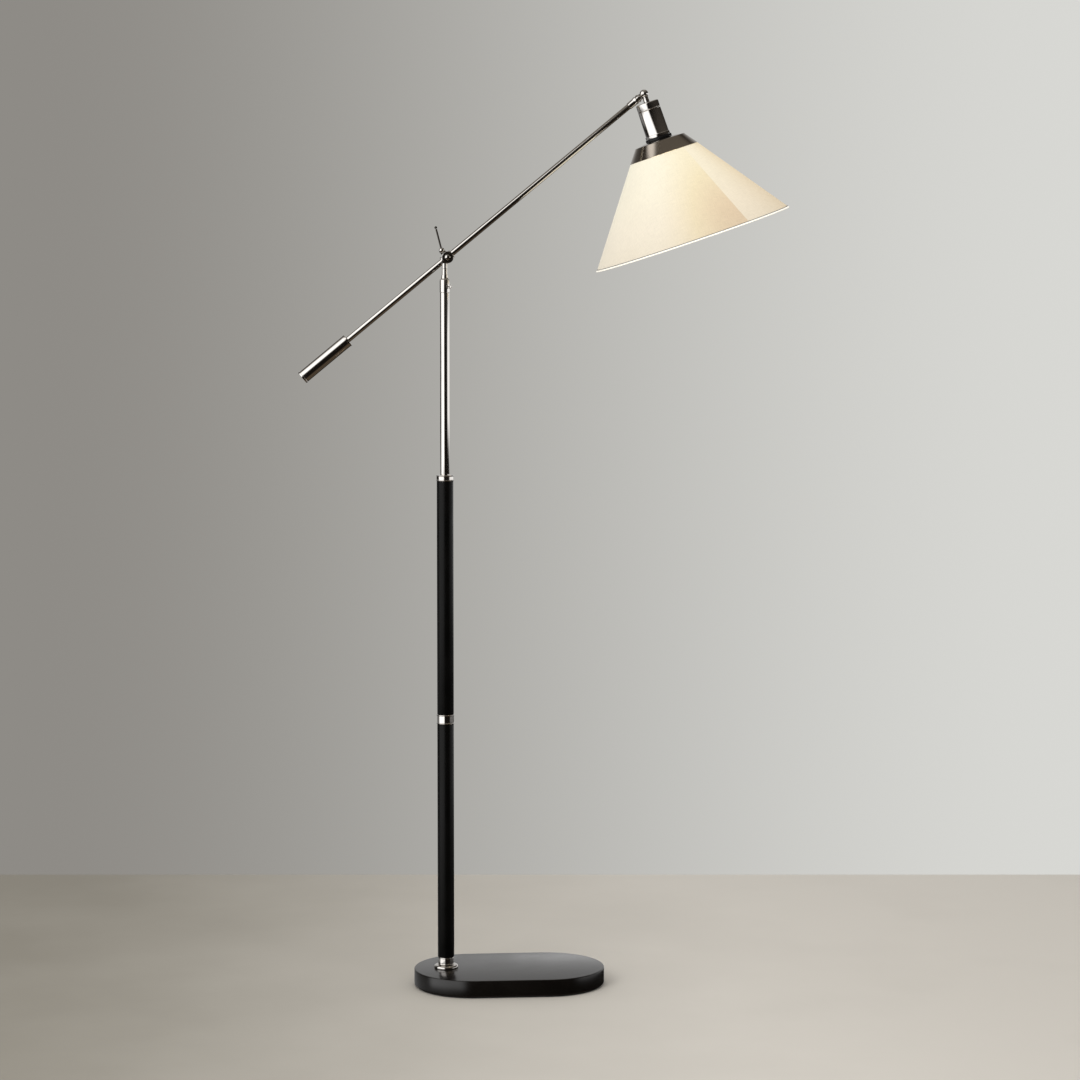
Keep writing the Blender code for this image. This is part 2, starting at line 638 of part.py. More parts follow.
def build_post():
    """The sliding post with its foot bush, and the swivel head on its tenon."""
    frame = add_frame("post_axis", None, (0, 0, POST_HIGH))
    bottom = POST_LOW - POST_HIGH
    bore = POST_BORE / 2
    tenon = TENON_DIAMETER / 2
    turned("post_rod", [
        (bore, TENON_LENGTH), (tenon, TENON_LENGTH), (tenon, 0), (POST_RADIUS, 0), (POST_RADIUS, bottom),
        (bore, bottom),
    ], "nickel", parent=frame)
    foot_high = bottom + POST_BUSH_HEIGHT
    pipe("post_bush", MAST_BORE - GAP, POST_RADIUS + GAP, foot_high, bottom, "brass", parent=frame)
    rod("post_lead", bore - GAP, TENON_LENGTH - GAP, bottom + GAP, "lead", 8, parent=frame)

    swivel = add_frame("swivel_axis", frame, (0, 0, GAP))
    hole = tenon + GAP
    hub_centre = (HUB_OFFSET, 0, HUB_RISE)
    across = (math.radians(90), 0, 0)
    head = rod("swivel_head", HUB_DIAMETER / 2, -HUB_FRONT, -HUB_BACK, "nickel", parent=swivel,
               at=hub_centre, turn=across)
    join(head,
         rod("swivel_neck", POST_RADIUS, SWIVEL_NECK_HEIGHT, 0, None, parent=swivel),
         block("swivel_web", (-POST_RADIUS, HUB_FRONT + GAP, SWIVEL_NECK_HEIGHT - OVERLAP),
               (POST_RADIUS, HUB_BACK - GAP, HUB_RISE - HUB_DIAMETER / 4), None, parent=swivel))
    cut(head,
        rod("tenon_hole", hole, TENON_LENGTH, -TENON_LENGTH, None, COARSE, parent=swivel),
        rod("bolt_hole", BOLT_DIAMETER / 2 + GAP, HUB_DIAMETER, -HUB_DIAMETER, None, COARSE,
            parent=swivel, at=hub_centre, turn=across))
    washer_front = -HUB_BACK - GAP
    washer_back = washer_front - FRICTION_WASHER_THICKNESS
    pipe("friction_washer", BOSS_DIAMETER / 2, BOLT_DIAMETER / 2 + GAP, washer_front, washer_back,
         "black_plastic", parent=swivel, at=hub_centre, turn=across)
    head_back = -HUB_FRONT + GAP
    head_radius = BOLT_HEAD_DIAMETER / 2
    shank = BOLT_DIAMETER / 2
    shank_end = -ARM_OFFSET + ARM_HOLE + BOLT_END_FROM_ARM
    turned("tilt_bolt", [
        (0, head_back + BOLT_HEAD_HEIGHT), (head_radius * 0.55, head_back + BOLT_HEAD_HEIGHT * 0.85),
        (head_radius * 0.9, head_back + BOLT_HEAD_HEIGHT * 0.45), (head_radius, head_back),
        (shank, head_back), (shank, shank_end), (0, shank_end),
    ], "nickel", COARSE, parent=swivel, at=hub_centre, turn=across)
    arm_frame = add_frame("tilt_axis", swivel, (HUB_OFFSET, ARM_OFFSET, HUB_RISE),
                          (0, math.pi / 2 - ARM_PITCH, 0))
    return arm_frame, washer_back, shank_end


def build_sleeve(arm_frame, washer_back, shank_end):
    """The split sleeve, its clamp nut and the clamp lever."""
    across = (math.radians(90), 0, 0)
    half = SLEEVE_LENGTH / 2
    boss_front = ARM_OFFSET + washer_back - GAP
    sleeve = rod("clamp_sleeve", SLEEVE_DIAMETER / 2, half, -half, "nickel", parent=arm_frame)
    ear_top = CLAMP_RISE + EAR_BEYOND_SCREW
    join(sleeve,
         rod("sleeve_boss", BOSS_DIAMETER / 2, boss_front, 0, None, parent=arm_frame, turn=across),
         block("sleeve_ears", (-ear_top, -EAR_THICKNESS / 2, -EAR_WIDTH / 2),
               (0, EAR_THICKNESS / 2, EAR_WIDTH / 2), None, parent=arm_frame))
    screw_place = {"parent": arm_frame, "at": (-CLAMP_RISE, 0, 0), "turn": across}
    cut(sleeve,
        rod("sleeve_bore", ARM_HOLE, half * 2, -half * 2, None, parent=arm_frame),
        block("sleeve_slit", (-ear_top * 2, -SLIT / 2, -half * 2), (0, SLIT / 2, half * 2), None,
              parent=arm_frame),
        rod("boss_hole", BOLT_DIAMETER / 2 + GAP, BOSS_DIAMETER, ARM_OFFSET + shank_end - GAP, None,
            COARSE, parent=arm_frame, turn=across),
        rod("ear_hole", CLAMP_SCREW_DIAMETER / 2 + GAP, EAR_THICKNESS, -EAR_THICKNESS, None, COARSE,
            **screw_place))
    nut_near = -EAR_THICKNESS / 2 - GAP
    nut = rod("clamp_nut", CLAMP_NUT_CORNERS / 2, nut_near, nut_near - CLAMP_NUT_HEIGHT, "nickel", 6,
              **screw_place)
    cut(nut, rod("clamp_nut_hole", CLAMP_SCREW_DIAMETER / 2 + GAP, EAR_THICKNESS, -EAR_THICKNESS, None,
                 COARSE, **screw_place))

    lever = add_frame("lever_axis", arm_frame, (-CLAMP_RISE, -LEVER_BALL_FORWARD, 0),
                      (0, LEVER_ANGLE + ARM_PITCH - math.pi / 2, 0))
    hub = ball("lever_hub", LEVER_BALL_DIAMETER / 2, "nickel", COARSE, parent=lever)
    ear_face = LEVER_BALL_FORWARD - EAR_THICKNESS / 2 - GAP
    screw_end = LEVER_BALL_FORWARD + EAR_THICKNESS / 2 + CLAMP_NUT_HEIGHT + 2 * GAP
    back = (math.radians(-90), 0, 0)
    join(hub, turned("lever_shank", [
        (0, ear_face), (LEVER_COLLAR_DIAMETER / 2, ear_face), (LEVER_COLLAR_DIAMETER / 2, 0), (0, 0),
    ], None, COARSE, parent=lever, turn=back),
        rod("lever_screw", CLAMP_SCREW_DIAMETER / 2, screw_end, 0, None, COARSE, parent=lever, turn=back))
    socket_floor = LEVER_BALL_DIAMETER / 2 - LEVER_SOCKET_DEPTH
    cut(hub, rod("lever_socket", LEVER_DIAMETER / 2 + GAP, LEVER_LENGTH, socket_floor, None, COARSE,
                 parent=lever))
    tip_radius = LEVER_TIP_DIAMETER / 2
    rod("lever_rod", LEVER_DIAMETER / 2, LEVER_LENGTH - tip_radius, socket_floor + GAP, "nickel", COARSE,
        parent=lever)
    tip = ball("lever_tip", tip_radius, "nickel", COARSE, parent=lever, at=(0, 0, LEVER_LENGTH))
    cut(tip, rod("tip_socket", LEVER_DIAMETER / 2 + GAP, LEVER_LENGTH - tip_radius + GAP, 0, None, COARSE,
                 parent=lever))


def build_arm(arm_frame):
    """The arm tube, its counterweight with a grub screw, and the ferrule for the knuckle."""
    tube_high = ARM_REACH - KNUCKLE_COLLAR_END - GAP - FERRULE_FLOOR - GAP
    weight_far = -(WEIGHT_START + WEIGHT_LENGTH)
    tube_low = weight_far + WEIGHT_END_WALL + GAP
    pipe("arm_tube", ARM_RADIUS, ARM_RADIUS - ARM_WALL, tube_high, tube_low, "nickel", MEDIUM,
         parent=arm_frame)
    rod("arm_lead", ARM_LEAD_DIAMETER / 2, tube_high - GAP, SLEEVE_LENGTH, "lead", 8, parent=arm_frame)
    radius = WEIGHT_DIAMETER / 2
    near = -WEIGHT_START
    waist = radius - WEIGHT_SINK
    near_band = near - WEIGHT_BAND
    far_band = weight_far + WEIGHT_BAND
    weight = turned("counterweight", [
        (ARM_HOLE, near), *rounded(radius, near, SMALL_EDGE), (radius, near_band),
        (waist, near_band - WEIGHT_SINK), (waist, far_band + WEIGHT_SINK), (radius, far_band),
        (radius, weight_far + SMALL_EDGE), (radius - SMALL_EDGE, weight_far), (0, weight_far),
        (0, weight_far + WEIGHT_END_WALL), (ARM_HOLE, weight_far + WEIGHT_END_WALL),
    ], "nickel", MEDIUM, parent=arm_frame)
    down = {"parent": arm_frame, "at": (0, 0, near - WEIGHT_SCREW_FROM_FACE),
            "turn": (0, math.radians(90), 0)}
    screw = WEIGHT_SCREW_DIAMETER / 2
    cut(weight, rod("grub_hole", screw + GAP, WEIGHT_DIAMETER, 0, None, COARSE, **down))
    rod("counterweight_screw", screw, waist - SMALL_EDGE, ARM_HOLE, "steel", COARSE, **down)
    high = ARM_REACH - KNUCKLE_COLLAR_END - GAP
    mouth = FERRULE_MOUTH_DIAMETER / 2
    end = FERRULE_DIAMETER / 2
    tenon_hole = KNUCKLE_TENON_DIAMETER / 2 + GAP
    step = (high - FERRULE_START) / 8
    groove = end - FERRULE_GROOVE
    turned("arm_ferrule", [
        (tenon_hole, high), *rounded(end, high, FERRULE_EDGE), (end, high - step),
        (groove, high - step * 1.3), (groove, high - step * 2), (end, high - step * 2.3),
        (end, high - step * 3), (end - FERRULE_EDGE, high - step * 3.4), (mouth, FERRULE_START),
        (ARM_HOLE, FERRULE_START), (ARM_HOLE, high - FERRULE_FLOOR), (tenon_hole, high - FERRULE_FLOOR),
    ], "nickel", MEDIUM, parent=arm_frame)


def half_ball(name, side, shank, frame):
    """A drilled half ball with a half-round shank below it, on the side of y that side gives."""
    item = ball(name, BALL_DIAMETER / 2, "nickel", 16, parent=frame)
    join(item, rod(name + "_shank", shank, 0, -HALF_ROUND_REACH - GAP, None, 18, parent=frame))
    size = BALL_DIAMETER
    faces = sorted((side * GAP / 2, -side * size))
    cut(item,
        block(name + "_split", (-size, faces[0], -size), (size, faces[1], size), None, parent=frame),
        rod(name + "_hole", KNUCKLE_SCREW_DIAMETER / 2 + GAP, size, -size, None, COARSE, parent=frame,
            turn=(math.radians(90), 0, 0)))
    return item


def build_knuckle(arm_frame):
    """The half ball that turns in the ferrule, the cross screw, and the head's own half ball and neck."""
    roll = add_frame("roll_axis", arm_frame, (0, 0, ARM_REACH))
    near = HALF_ROUND_REACH
    inner = half_ball("knuckle_inner", 1, KNUCKLE_SHANK_DIAMETER / 2, roll)
    collar = KNUCKLE_COLLAR_DIAMETER / 2
    tenon = KNUCKLE_TENON_DIAMETER / 2
    tenon_end = -(KNUCKLE_COLLAR_END + KNUCKLE_TENON_LENGTH)
    join(inner, turned("knuckle_tenon", [
        (0, -near), *rounded(collar, -near, SMALL_EDGE),
        (collar, -KNUCKLE_COLLAR_END), (tenon, -KNUCKLE_COLLAR_END), (tenon, tenon_end), (0, tenon_end),
    ], None, 18, parent=roll))
    across = (math.radians(90), 0, 0)
    shank = KNUCKLE_SCREW_DIAMETER / 2
    seat = BALL_DIAMETER / 2 + GAP
    head = KNUCKLE_HEAD_DIAMETER / 2
    turned("knuckle_screw", [
        (0, seat + KNUCKLE_HEAD_HEIGHT), (head * 0.7, seat + KNUCKLE_HEAD_HEIGHT * 0.85), (head, seat),
        (shank, seat), (shank, -seat - KNUCKLE_HEAD_HEIGHT), (0, -seat - KNUCKLE_HEAD_HEIGHT),
    ], "nickel", COARSE, parent=roll, turn=across)
    nut = rod("knuckle_nut", head, -seat, -seat - KNUCKLE_HEAD_HEIGHT, "nickel", 6, parent=roll,
              turn=across)
    cut(nut, rod("knuckle_nut_hole", shank + GAP, BALL_DIAMETER, -BALL_DIAMETER * 2, None, COARSE,
                 parent=roll, turn=across))

    head_frame = add_frame("head_axis", roll, (0, 0, 0), (0, HEAD_TILT + ARM_PITCH - math.pi / 2, 0))
    neck_radius = NECK_DIAMETER / 2
    neck = half_ball("head_neck", -1, neck_radius, head_frame)
    stub = NECK_STUB_DIAMETER / 2
    stub_end = -CUP_TOP - NECK_STUB_LENGTH
    join(neck, turned("neck_round", [
        (0, -near), (neck_radius, -near), (neck_radius, -CUP_TOP + GAP), (stub, -CUP_TOP + GAP),
        (stub, stub_end), (0, stub_end),
    ], None, 18, parent=head_frame))
    cut(neck, rod("neck_bore", NECK_BORE / 2, -near - 2 * OVERLAP, stub_end * 2, None, COARSE,
                  parent=head_frame))
    return head_frame


def build_socket(frame):
    """The cup with its nut and rear switch knob, the black spacer, and the lampholder inside."""
    stub_hole = NECK_STUB_DIAMETER / 2 + GAP
    top, bottom, lip = CUP_TOP_RADIUS, CUP_BOTTOM_RADIUS, CUP_LIP_RADIUS
    bead = -CUP_TOP - CUP_BEAD_FROM_TOP
    lip_top = -CUP_BOTTOM + CUP_LIP_HEIGHT
    ceiling = -CUP_TOP - CUP_WALL
    half_bead = CUP_BEAD / 2
    crest = top + CUP_BEAD_RISE
    cup = turned("socket_cup", [
        (stub_hole, -CUP_TOP), *rounded(top, -CUP_TOP, CUP_EDGE, 3), (top, bead + half_bead),
        (crest, bead + half_bead / 2), (crest, bead - half_bead / 2), (top, bead - half_bead),
        (bottom, lip_top + CUP_BEAD_RISE),
        (lip, lip_top), (lip, -CUP_BOTTOM), (bottom - CUP_WALL, -CUP_BOTTOM),
        (top - CUP_WALL, ceiling - CUP_EDGE), (top - CUP_WALL - CUP_EDGE, ceiling), (stub_hole, ceiling),
    ], "nickel", FINE * 2 // 3, parent=frame)
    back = (math.radians(-90), 0, 0)
    switch = add_frame("switch_axis", frame, (0, 0, -CUP_TOP - SWITCH_FROM_TOP), back)
    shaft = SWITCH_SHAFT_DIAMETER / 2
    cut(cup, rod("switch_hole", shaft + GAP, lip * 2, HOLDER_HOLE, None, COARSE, parent=switch))
    knob = SWITCH_KNOB_DIAMETER / 2
    seat = bottom + 4 * GAP
    far = seat + SWITCH_KNOB_LENGTH
    turned("switch_knob", [
        (0, far), *rounded(knob * 0.85, far, SMALL_EDGE), (knob, seat + 2 * SMALL_EDGE), (knob, seat),
        (shaft, seat), (shaft, HOLDER_HOLE), (0, HOLDER_HOLE),
    ], "black_plastic", COARSE, parent=switch)
    nut_high = ceiling - GAP
    nut = rod("cup_nut", CUP_NUT_CORNERS / 2, nut_high, nut_high - CUP_NUT_HEIGHT, "steel", 6,
              parent=frame)
    cut(nut, rod("cup_nut_hole", stub_hole, 0, -CUP_BOTTOM, None, COARSE, parent=frame))
    spacer_high = -CUP_BOTTOM - GAP
    spacer_low = spacer_high - SPACER_HEIGHT
    turned("spacer_ring", [
        (HOLDER_HOLE, spacer_high), *rounded(SPACER_RADIUS, spacer_high, SMALL_EDGE),
        (SPACER_RADIUS, spacer_low), (HOLDER_HOLE, spacer_low),
    ], "black_plastic", FINE * 2 // 3, parent=frame)

    outer = HOLDER_RADIUS
    wire_hole = HOLDER_WIRE_HOLE / 2
    floor = -HOLDER_TOP - HOLDER_FLOOR
    turned("lampholder_body", [
        (wire_hole, -HOLDER_TOP), *rounded(outer, -HOLDER_TOP, CUP_EDGE),
        (outer, -HOLDER_BOTTOM), (HOLDER_BORE, -HOLDER_BOTTOM), (HOLDER_BORE, floor), (wire_hole, floor),
    ], "black_plastic", parent=frame)
    block_high = floor - GAP
    block_low = block_high - CONTACT_BLOCK_HEIGHT
    contact_hole = CONTACT_HOLE_DIAMETER / 2
    pipe("contact_block", HOLDER_BORE - GAP, contact_hole, block_high, block_low, "ceramic", parent=frame)
    pin = contact_hole - GAP
    contact_low = block_low - GAP
    turned("centre_contact", [
        (0, block_high), (pin, block_high), (pin, contact_low), (pin * 1.7, contact_low),
        (pin * 1.5, contact_low - SMALL_EDGE), (0, contact_low - CONTACT_HEIGHT),
    ], "brass", COARSE, parent=frame)
    shell_outer = HOLDER_BORE - GAP
    shell_inner = shell_outer - SCREW_SHELL_WALL
    turned("screw_shell", [
        (pin * 2.6, contact_low), (shell_outer, contact_low), (shell_outer, contact_low - SCREW_SHELL_LENGTH),
        (shell_inner, contact_low - SCREW_SHELL_LENGTH), (shell_inner, contact_low - SCREW_SHELL_WALL),
        (pin * 2.6, contact_low - SCREW_SHELL_WALL),
    ], "brass", parent=frame)
    rod("head_lead", NECK_BORE / 2 - GAP, -HALF_ROUND_REACH - 3 * OVERLAP, floor, "lead", 8, parent=frame)
    return contact_low - CONTACT_HEIGHT - GAP


def build_bulb(frame, tip_top):
    """A pear-shaped bulb and its screw cap."""
    radius = BULB_CAP_DIAMETER / 2
    bore = radius - BULB_CAP_WALL
    shoulder = -BULB_CAP_FROM_TOP
    cap_low = shoulder - BULB_CAP_LENGTH
    tip = BULB_TIP_DIAMETER / 2
    turned("bulb_cap", [
        (0, tip_top), *rounded(tip, tip_top, SMALL_EDGE), (tip, tip_top - BULB_TIP_HEIGHT),
        *rounded(radius, shoulder - BULB_TIP_HEIGHT, 2 * BULB_CAP_WALL), (radius, cap_low), (bore, cap_low),
        (bore, shoulder - 2 * BULB_TIP_HEIGHT), (0, shoulder - 2 * BULB_TIP_HEIGHT),
    ], "brass", parent=frame)
    outside = bulb_side(0, cap_low - GAP)
    inside = bulb_side(BULB_WALL, cap_low - GAP)
    turned("bulb_glass", inside[::-1] + outside, "opal_glass", parent=frame)


def bulb_side(inset, neck_top):
    """Outline one face of the glass, from the top of its neck down to the pole; the neck stays open."""
    globe = BULB_DIAMETER / 2 - inset
    neck = BULB_NECK_DIAMETER / 2 - inset
    centre = neck_top - BULB_GLASS_LENGTH + BULB_DIAMETER / 2
    meet = math.radians(35)
    steps = 9
    points = [(neck, neck_top), (neck, -HOLDER_BOTTOM)]
    for step in range(steps):
        angle = meet - step / steps * (meet + math.pi / 2)
        points.append((globe * math.cos(angle), centre + globe * math.sin(angle)))
    points.append((0, centre - globe))
    return points


def shade_radius(height, inset=0.0):
    """Radius of the cone's outer face at a height, less an inset square to the face."""
    return SHADE_TOP_DIAMETER / 2 + (CAP_BOTTOM - height) * SHADE_FLARE - inset * SHADE_SLANT


def build_shade(frame):
    """The metal cap, the wire spider and its ring nut, the fabric cone, its rim tape and rim wire."""
    crown = CAP_TOP - CAP_CROWN_DROP
    shoulder = CAP_TOP_DIAMETER / 2
    hem = SHADE_TOP_DIAMETER / 2
    wall = CAP_WALL
    turned("shade_cap", [
        (HOLDER_HOLE, CAP_TOP), (CAP_FLAT_RADIUS, CAP_TOP), (shoulder - CAP_EDGE, crown),
        (shoulder + GAP, crown - CAP_EDGE), (hem, CAP_BOTTOM),
        (hem - wall * SHADE_SLANT, CAP_BOTTOM), (shoulder - wall, crown - wall - CAP_EDGE / 2),
        (CAP_FLAT_RADIUS, CAP_TOP - wall), (HOLDER_HOLE, CAP_TOP - wall),
    ], "nickel_brushed", FINE, parent=frame)

    hub_high = CAP_TOP - wall - GAP
    hub_low = hub_high - SPIDER_THICKNESS
    hub_radius = HOLDER_RADIUS + SPIDER_HUB_MARGIN
    ring_height = SHADE_TOP - TOP_WIRE_DROP
    ring_wire = TOP_WIRE_DIAMETER / 2
    ring_radius = shade_radius(ring_height, SHADE_WALL + ring_wire + GAP)
    spider = pipe("shade_spider", hub_radius, HOLDER_HOLE, hub_high, hub_low, "white_wire",
                  parent=frame)
    round_wire = [math.tau * step / 6 for step in range(6)]
    ring = turned("spider_ring", [
        (ring_radius + ring_wire * math.cos(angle), ring_height - ring_wire * math.sin(angle))
        for angle in round_wire
    ], None, FINE, parent=frame)
    join(spider, ring)
    middle = (hub_high + hub_low) / 2
    knee = shoulder - SPIDER_KNEE_INSET
    for number in range(SPIDER_ARMS):
        route = [(hub_radius - 2 * OVERLAP, 0, middle), (knee, 0, crown - SPIDER_KNEE_INSET),
                 (ring_radius, 0, ring_height)]
        arm = wire("spider_arm_%d" % number, route, SPIDER_WIRE_DIAMETER / 2, None, parent=frame,
                   turn=(0, 0, math.tau * number / SPIDER_ARMS + SPIDER_TURN))
        join(spider, arm)
    nut_high = hub_low - GAP
    nut_low = max(nut_high - RING_NUT_HEIGHT, -HOLDER_BOTTOM)
    pipe("ring_nut", HOLDER_RADIUS + RING_NUT_MARGIN, HOLDER_HOLE, nut_high, nut_low,
         "black_plastic", parent=frame)

    cloth_bottom = SHADE_BOTTOM + RIM_HEIGHT + GAP
    turned("shade_fabric", [
        (shade_radius(SHADE_TOP), SHADE_TOP), (shade_radius(cloth_bottom), cloth_bottom),
        (shade_radius(cloth_bottom, SHADE_WALL), cloth_bottom),
        (shade_radius(SHADE_TOP, SHADE_WALL), SHADE_TOP),
    ], "fabric", 48, parent=frame)
    tape_top = SHADE_BOTTOM + RIM_HEIGHT
    turned("rim_tape", [
        (shade_radius(tape_top, -RIM_PROUD), tape_top), (shade_radius(SHADE_BOTTOM), SHADE_BOTTOM),
        (shade_radius(SHADE_BOTTOM, SHADE_WALL), SHADE_BOTTOM),
        (shade_radius(tape_top, SHADE_WALL + RIM_PROUD), tape_top),
    ], "rim_tape", 48, parent=frame)
    rim_wire = BOTTOM_WIRE_DIAMETER / 2
    wire_height = cloth_bottom + BOTTOM_WIRE_RISE
    wire_radius = shade_radius(wire_height, SHADE_WALL + rim_wire + GAP)
    turned("rim_wire", [
        (wire_radius + rim_wire * math.cos(angle), wire_height - rim_wire * math.sin(angle))
        for angle in round_wire
    ], "white_wire", FINE, parent=frame)


def main():
    """Build the lamp from the floor up and out along the arm."""
    clear_scene()
    build_base()
    build_stem()
    build_mast()
    arm_frame, washer_back, shank_end = build_post()
    build_sleeve(arm_frame, washer_back, shank_end)
    build_arm(arm_frame)
    head_frame = build_knuckle(arm_frame)
    tip_top = build_socket(head_frame)
    build_bulb(head_frame, tip_top)
    build_shade(head_frame)


main()
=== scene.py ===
"""Looks of the pharmacy floor lamp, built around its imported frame.

Every place and size comes from the frame: a joint gives an axis, and a node gives its radius and its
heights along that axis. Each visible piece is then modelled finely in the same space, and dressed.
"""
from __future__ import annotations

import json
import logging
import math
from dataclasses import dataclass
from enum import Enum
from typing import Any, Callable, Sequence
import bmesh
import bpy
from mathutils import Matrix, Vector


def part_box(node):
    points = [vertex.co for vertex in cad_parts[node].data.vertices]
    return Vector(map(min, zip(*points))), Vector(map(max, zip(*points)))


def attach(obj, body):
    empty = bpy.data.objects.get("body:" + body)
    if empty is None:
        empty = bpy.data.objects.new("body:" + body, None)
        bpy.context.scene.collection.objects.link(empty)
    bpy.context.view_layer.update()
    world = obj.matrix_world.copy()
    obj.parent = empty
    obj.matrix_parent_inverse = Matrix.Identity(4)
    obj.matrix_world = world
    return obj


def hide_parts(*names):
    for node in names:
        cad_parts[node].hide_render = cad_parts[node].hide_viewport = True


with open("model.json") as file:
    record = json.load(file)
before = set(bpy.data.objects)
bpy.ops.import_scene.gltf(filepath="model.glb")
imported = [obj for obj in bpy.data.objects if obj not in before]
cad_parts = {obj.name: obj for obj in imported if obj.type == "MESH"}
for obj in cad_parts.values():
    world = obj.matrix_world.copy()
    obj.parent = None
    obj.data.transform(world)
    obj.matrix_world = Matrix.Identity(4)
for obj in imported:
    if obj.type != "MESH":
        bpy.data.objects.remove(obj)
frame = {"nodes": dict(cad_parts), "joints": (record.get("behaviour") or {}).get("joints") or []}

MM = 0.001
# The usual clearance between pieces that meet, and the usual broken edge
FINE = 0.3 * MM
log = logging.getLogger("lamp")
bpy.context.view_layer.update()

Outline = Sequence[tuple[float, float]]


def linear(colour: str) -> tuple[float, float, float, float]:
    """Turn an sRGB hex colour into linear light.

    Args:
        colour: Six hex digits after a hash.

    Returns:
        Red, green, blue and an alpha of one.
    """
    parts = [int(colour[at:at + 2], 16) / 255 for at in (1, 3, 5)]
    low = [part / 12.92 if part <= 0.04045 else ((part + 0.055) / 1.055) ** 2.4 for part in parts]
    return (low[0], low[1], low[2], 1.0)


# ---------------------------------------------------------------- materials


@dataclass
class Nodes:
    """A node tree under construction."""

    tree: bpy.types.NodeTree

    def add(self, kind: str, settings: dict[str, Any] | None = None, **inputs: Any) -> bpy.types.Node:
        """Add a node, with its settings and its inputs.

        Args:
            kind: The node's type, without the ShaderNode prefix.
            settings: Attributes to set on the node.
            inputs: Values or sockets for its inputs, by name with underscores, or by number after an i.

        Returns:
            The new node.
        """
        node = self.tree.nodes.new("ShaderNode" + kind)
        for key, value in (settings or {}).items():
            setattr(node, key, value)
        for key, value in inputs.items():
            self.feed(node, int(key[1:]) if key[1:].isdigit() else key.replace("_", " "), value)
        return node

    def feed(self, node: bpy.types.Node, key: str | int, value: Any) -> None:
        """Set one input of a node, or link a socket to it.

        Args:
            node: The node.
            key: The input's name or number.
            value: A value, or the socket to link.
        """
        socket = node.inputs[key]
        if isinstance(value, bpy.types.NodeSocket):
            self.tree.links.new(value, socket)
        else:
            socket.default_value = value

    def maths(self, operation: str, *values: Any) -> bpy.types.NodeSocket:
        """Combine numbers or sockets by one operation of a Math node."""
        slots = {f"i{index}": value for index, value in enumerate(values)}
        return self.add("Math", {"operation": operation}, **slots).outputs[0]

    def ramp(self, factor: bpy.types.NodeSocket, *stops: tuple[float, str | float]) -> bpy.types.NodeSocket:
        """Map a factor through colour stops.

        Args:
            factor: The factor's socket.
            stops: A place from 0 to 1, and a hex colour or a grey level for it.

        Returns:
            The colour socket.
        """
        node = self.add("ValToRGB", Fac=factor)
        band = node.color_ramp
        while len(band.elements) < len(stops):
            band.elements.new(1.0)
        for element, (position, shade) in zip(band.elements, stops):
            element.position = position
            element.color = linear(shade) if isinstance(shade, str) else (shade, shade, shade, 1.0)
        return node.outputs["Color"]

    def fade(self, value: bpy.types.NodeSocket, start: float, stop: float, low: float = 0.0,
             high: float = 1.0) -> bpy.types.NodeSocket:
        """Carry a value smoothly from one range to another, held at its ends.

        Args:
            value: The socket to carry.
            start: Where it starts to move.
            stop: Where it stops moving.
            low: The result up to the start.
            high: The result from the stop on.

        Returns:
            The result's socket.
        """
        return self.add("MapRange", {"interpolation_type": "SMOOTHSTEP"}, Value=value, From_Min=start,
                        From_Max=stop, To_Min=low, To_Max=high).outputs[0]


class Recipe(Nodes):
    """A material with one Principled shader, under construction."""

    def __init__(self, name: str) -> None:
        """Make the material.

        Args:
            name: Its name.
        """
        self.material = bpy.data.materials.new(name)
        self.material.use_nodes = True
        super().__init__(self.material.node_tree)
        self.shader = self.tree.nodes["Principled BSDF"]

    def finish(self, **inputs: Any) -> None:
        """Set inputs of the Principled shader.

        Args:
            inputs: Values or sockets, by name with underscores.
        """
        for key, value in inputs.items():
            self.feed(self.shader, key.replace("_", " "), value)

    def place(self, matrix: Matrix | None = None,
              scale: Sequence[float] = (1, 1, 1)) -> bpy.types.NodeSocket:
        """Give Object coordinates, turned and centred into a piece's own axes.

        Args:
            matrix: The piece's axes in the row frame.
            scale: Repeats per metre along each of its axes.

        Returns:
            The coordinate socket.
        """
        point = self.add("TexCoord").outputs["Object"]
        if matrix is not None:
            back = matrix.inverted()
            point = self.add("Mapping", Vector=point, Location=back.to_translation(),
                             Rotation=back.to_euler()).outputs[0]
        return self.add("Mapping", Vector=point, Scale=scale).outputs[0]

    def noise(self, detail: float, matrix: Matrix | None, scale: Sequence[float]) -> bpy.types.NodeSocket:
        """Give noise in a piece's own axes, with this many repeats per metre along each."""
        return self.add("TexNoise", Vector=self.place(matrix, scale), Scale=1.0, Detail=detail).outputs[0]

    def bump(self, height: bpy.types.NodeSocket, depth: float) -> None:
        """Send a height pattern to the shader's normal.

        Args:
            height: The pattern.
            depth: Its depth in metres.
        """
        node = self.add("Bump", Height=height, Distance=depth, Strength=1.0)
        self.feed(self.shader, "Normal", node.outputs[0])


class Grain(Enum):
    """Which way the marks of polishing run on a metal piece."""

    NONE = 0
    ROUND = 1
    ALONG = 2


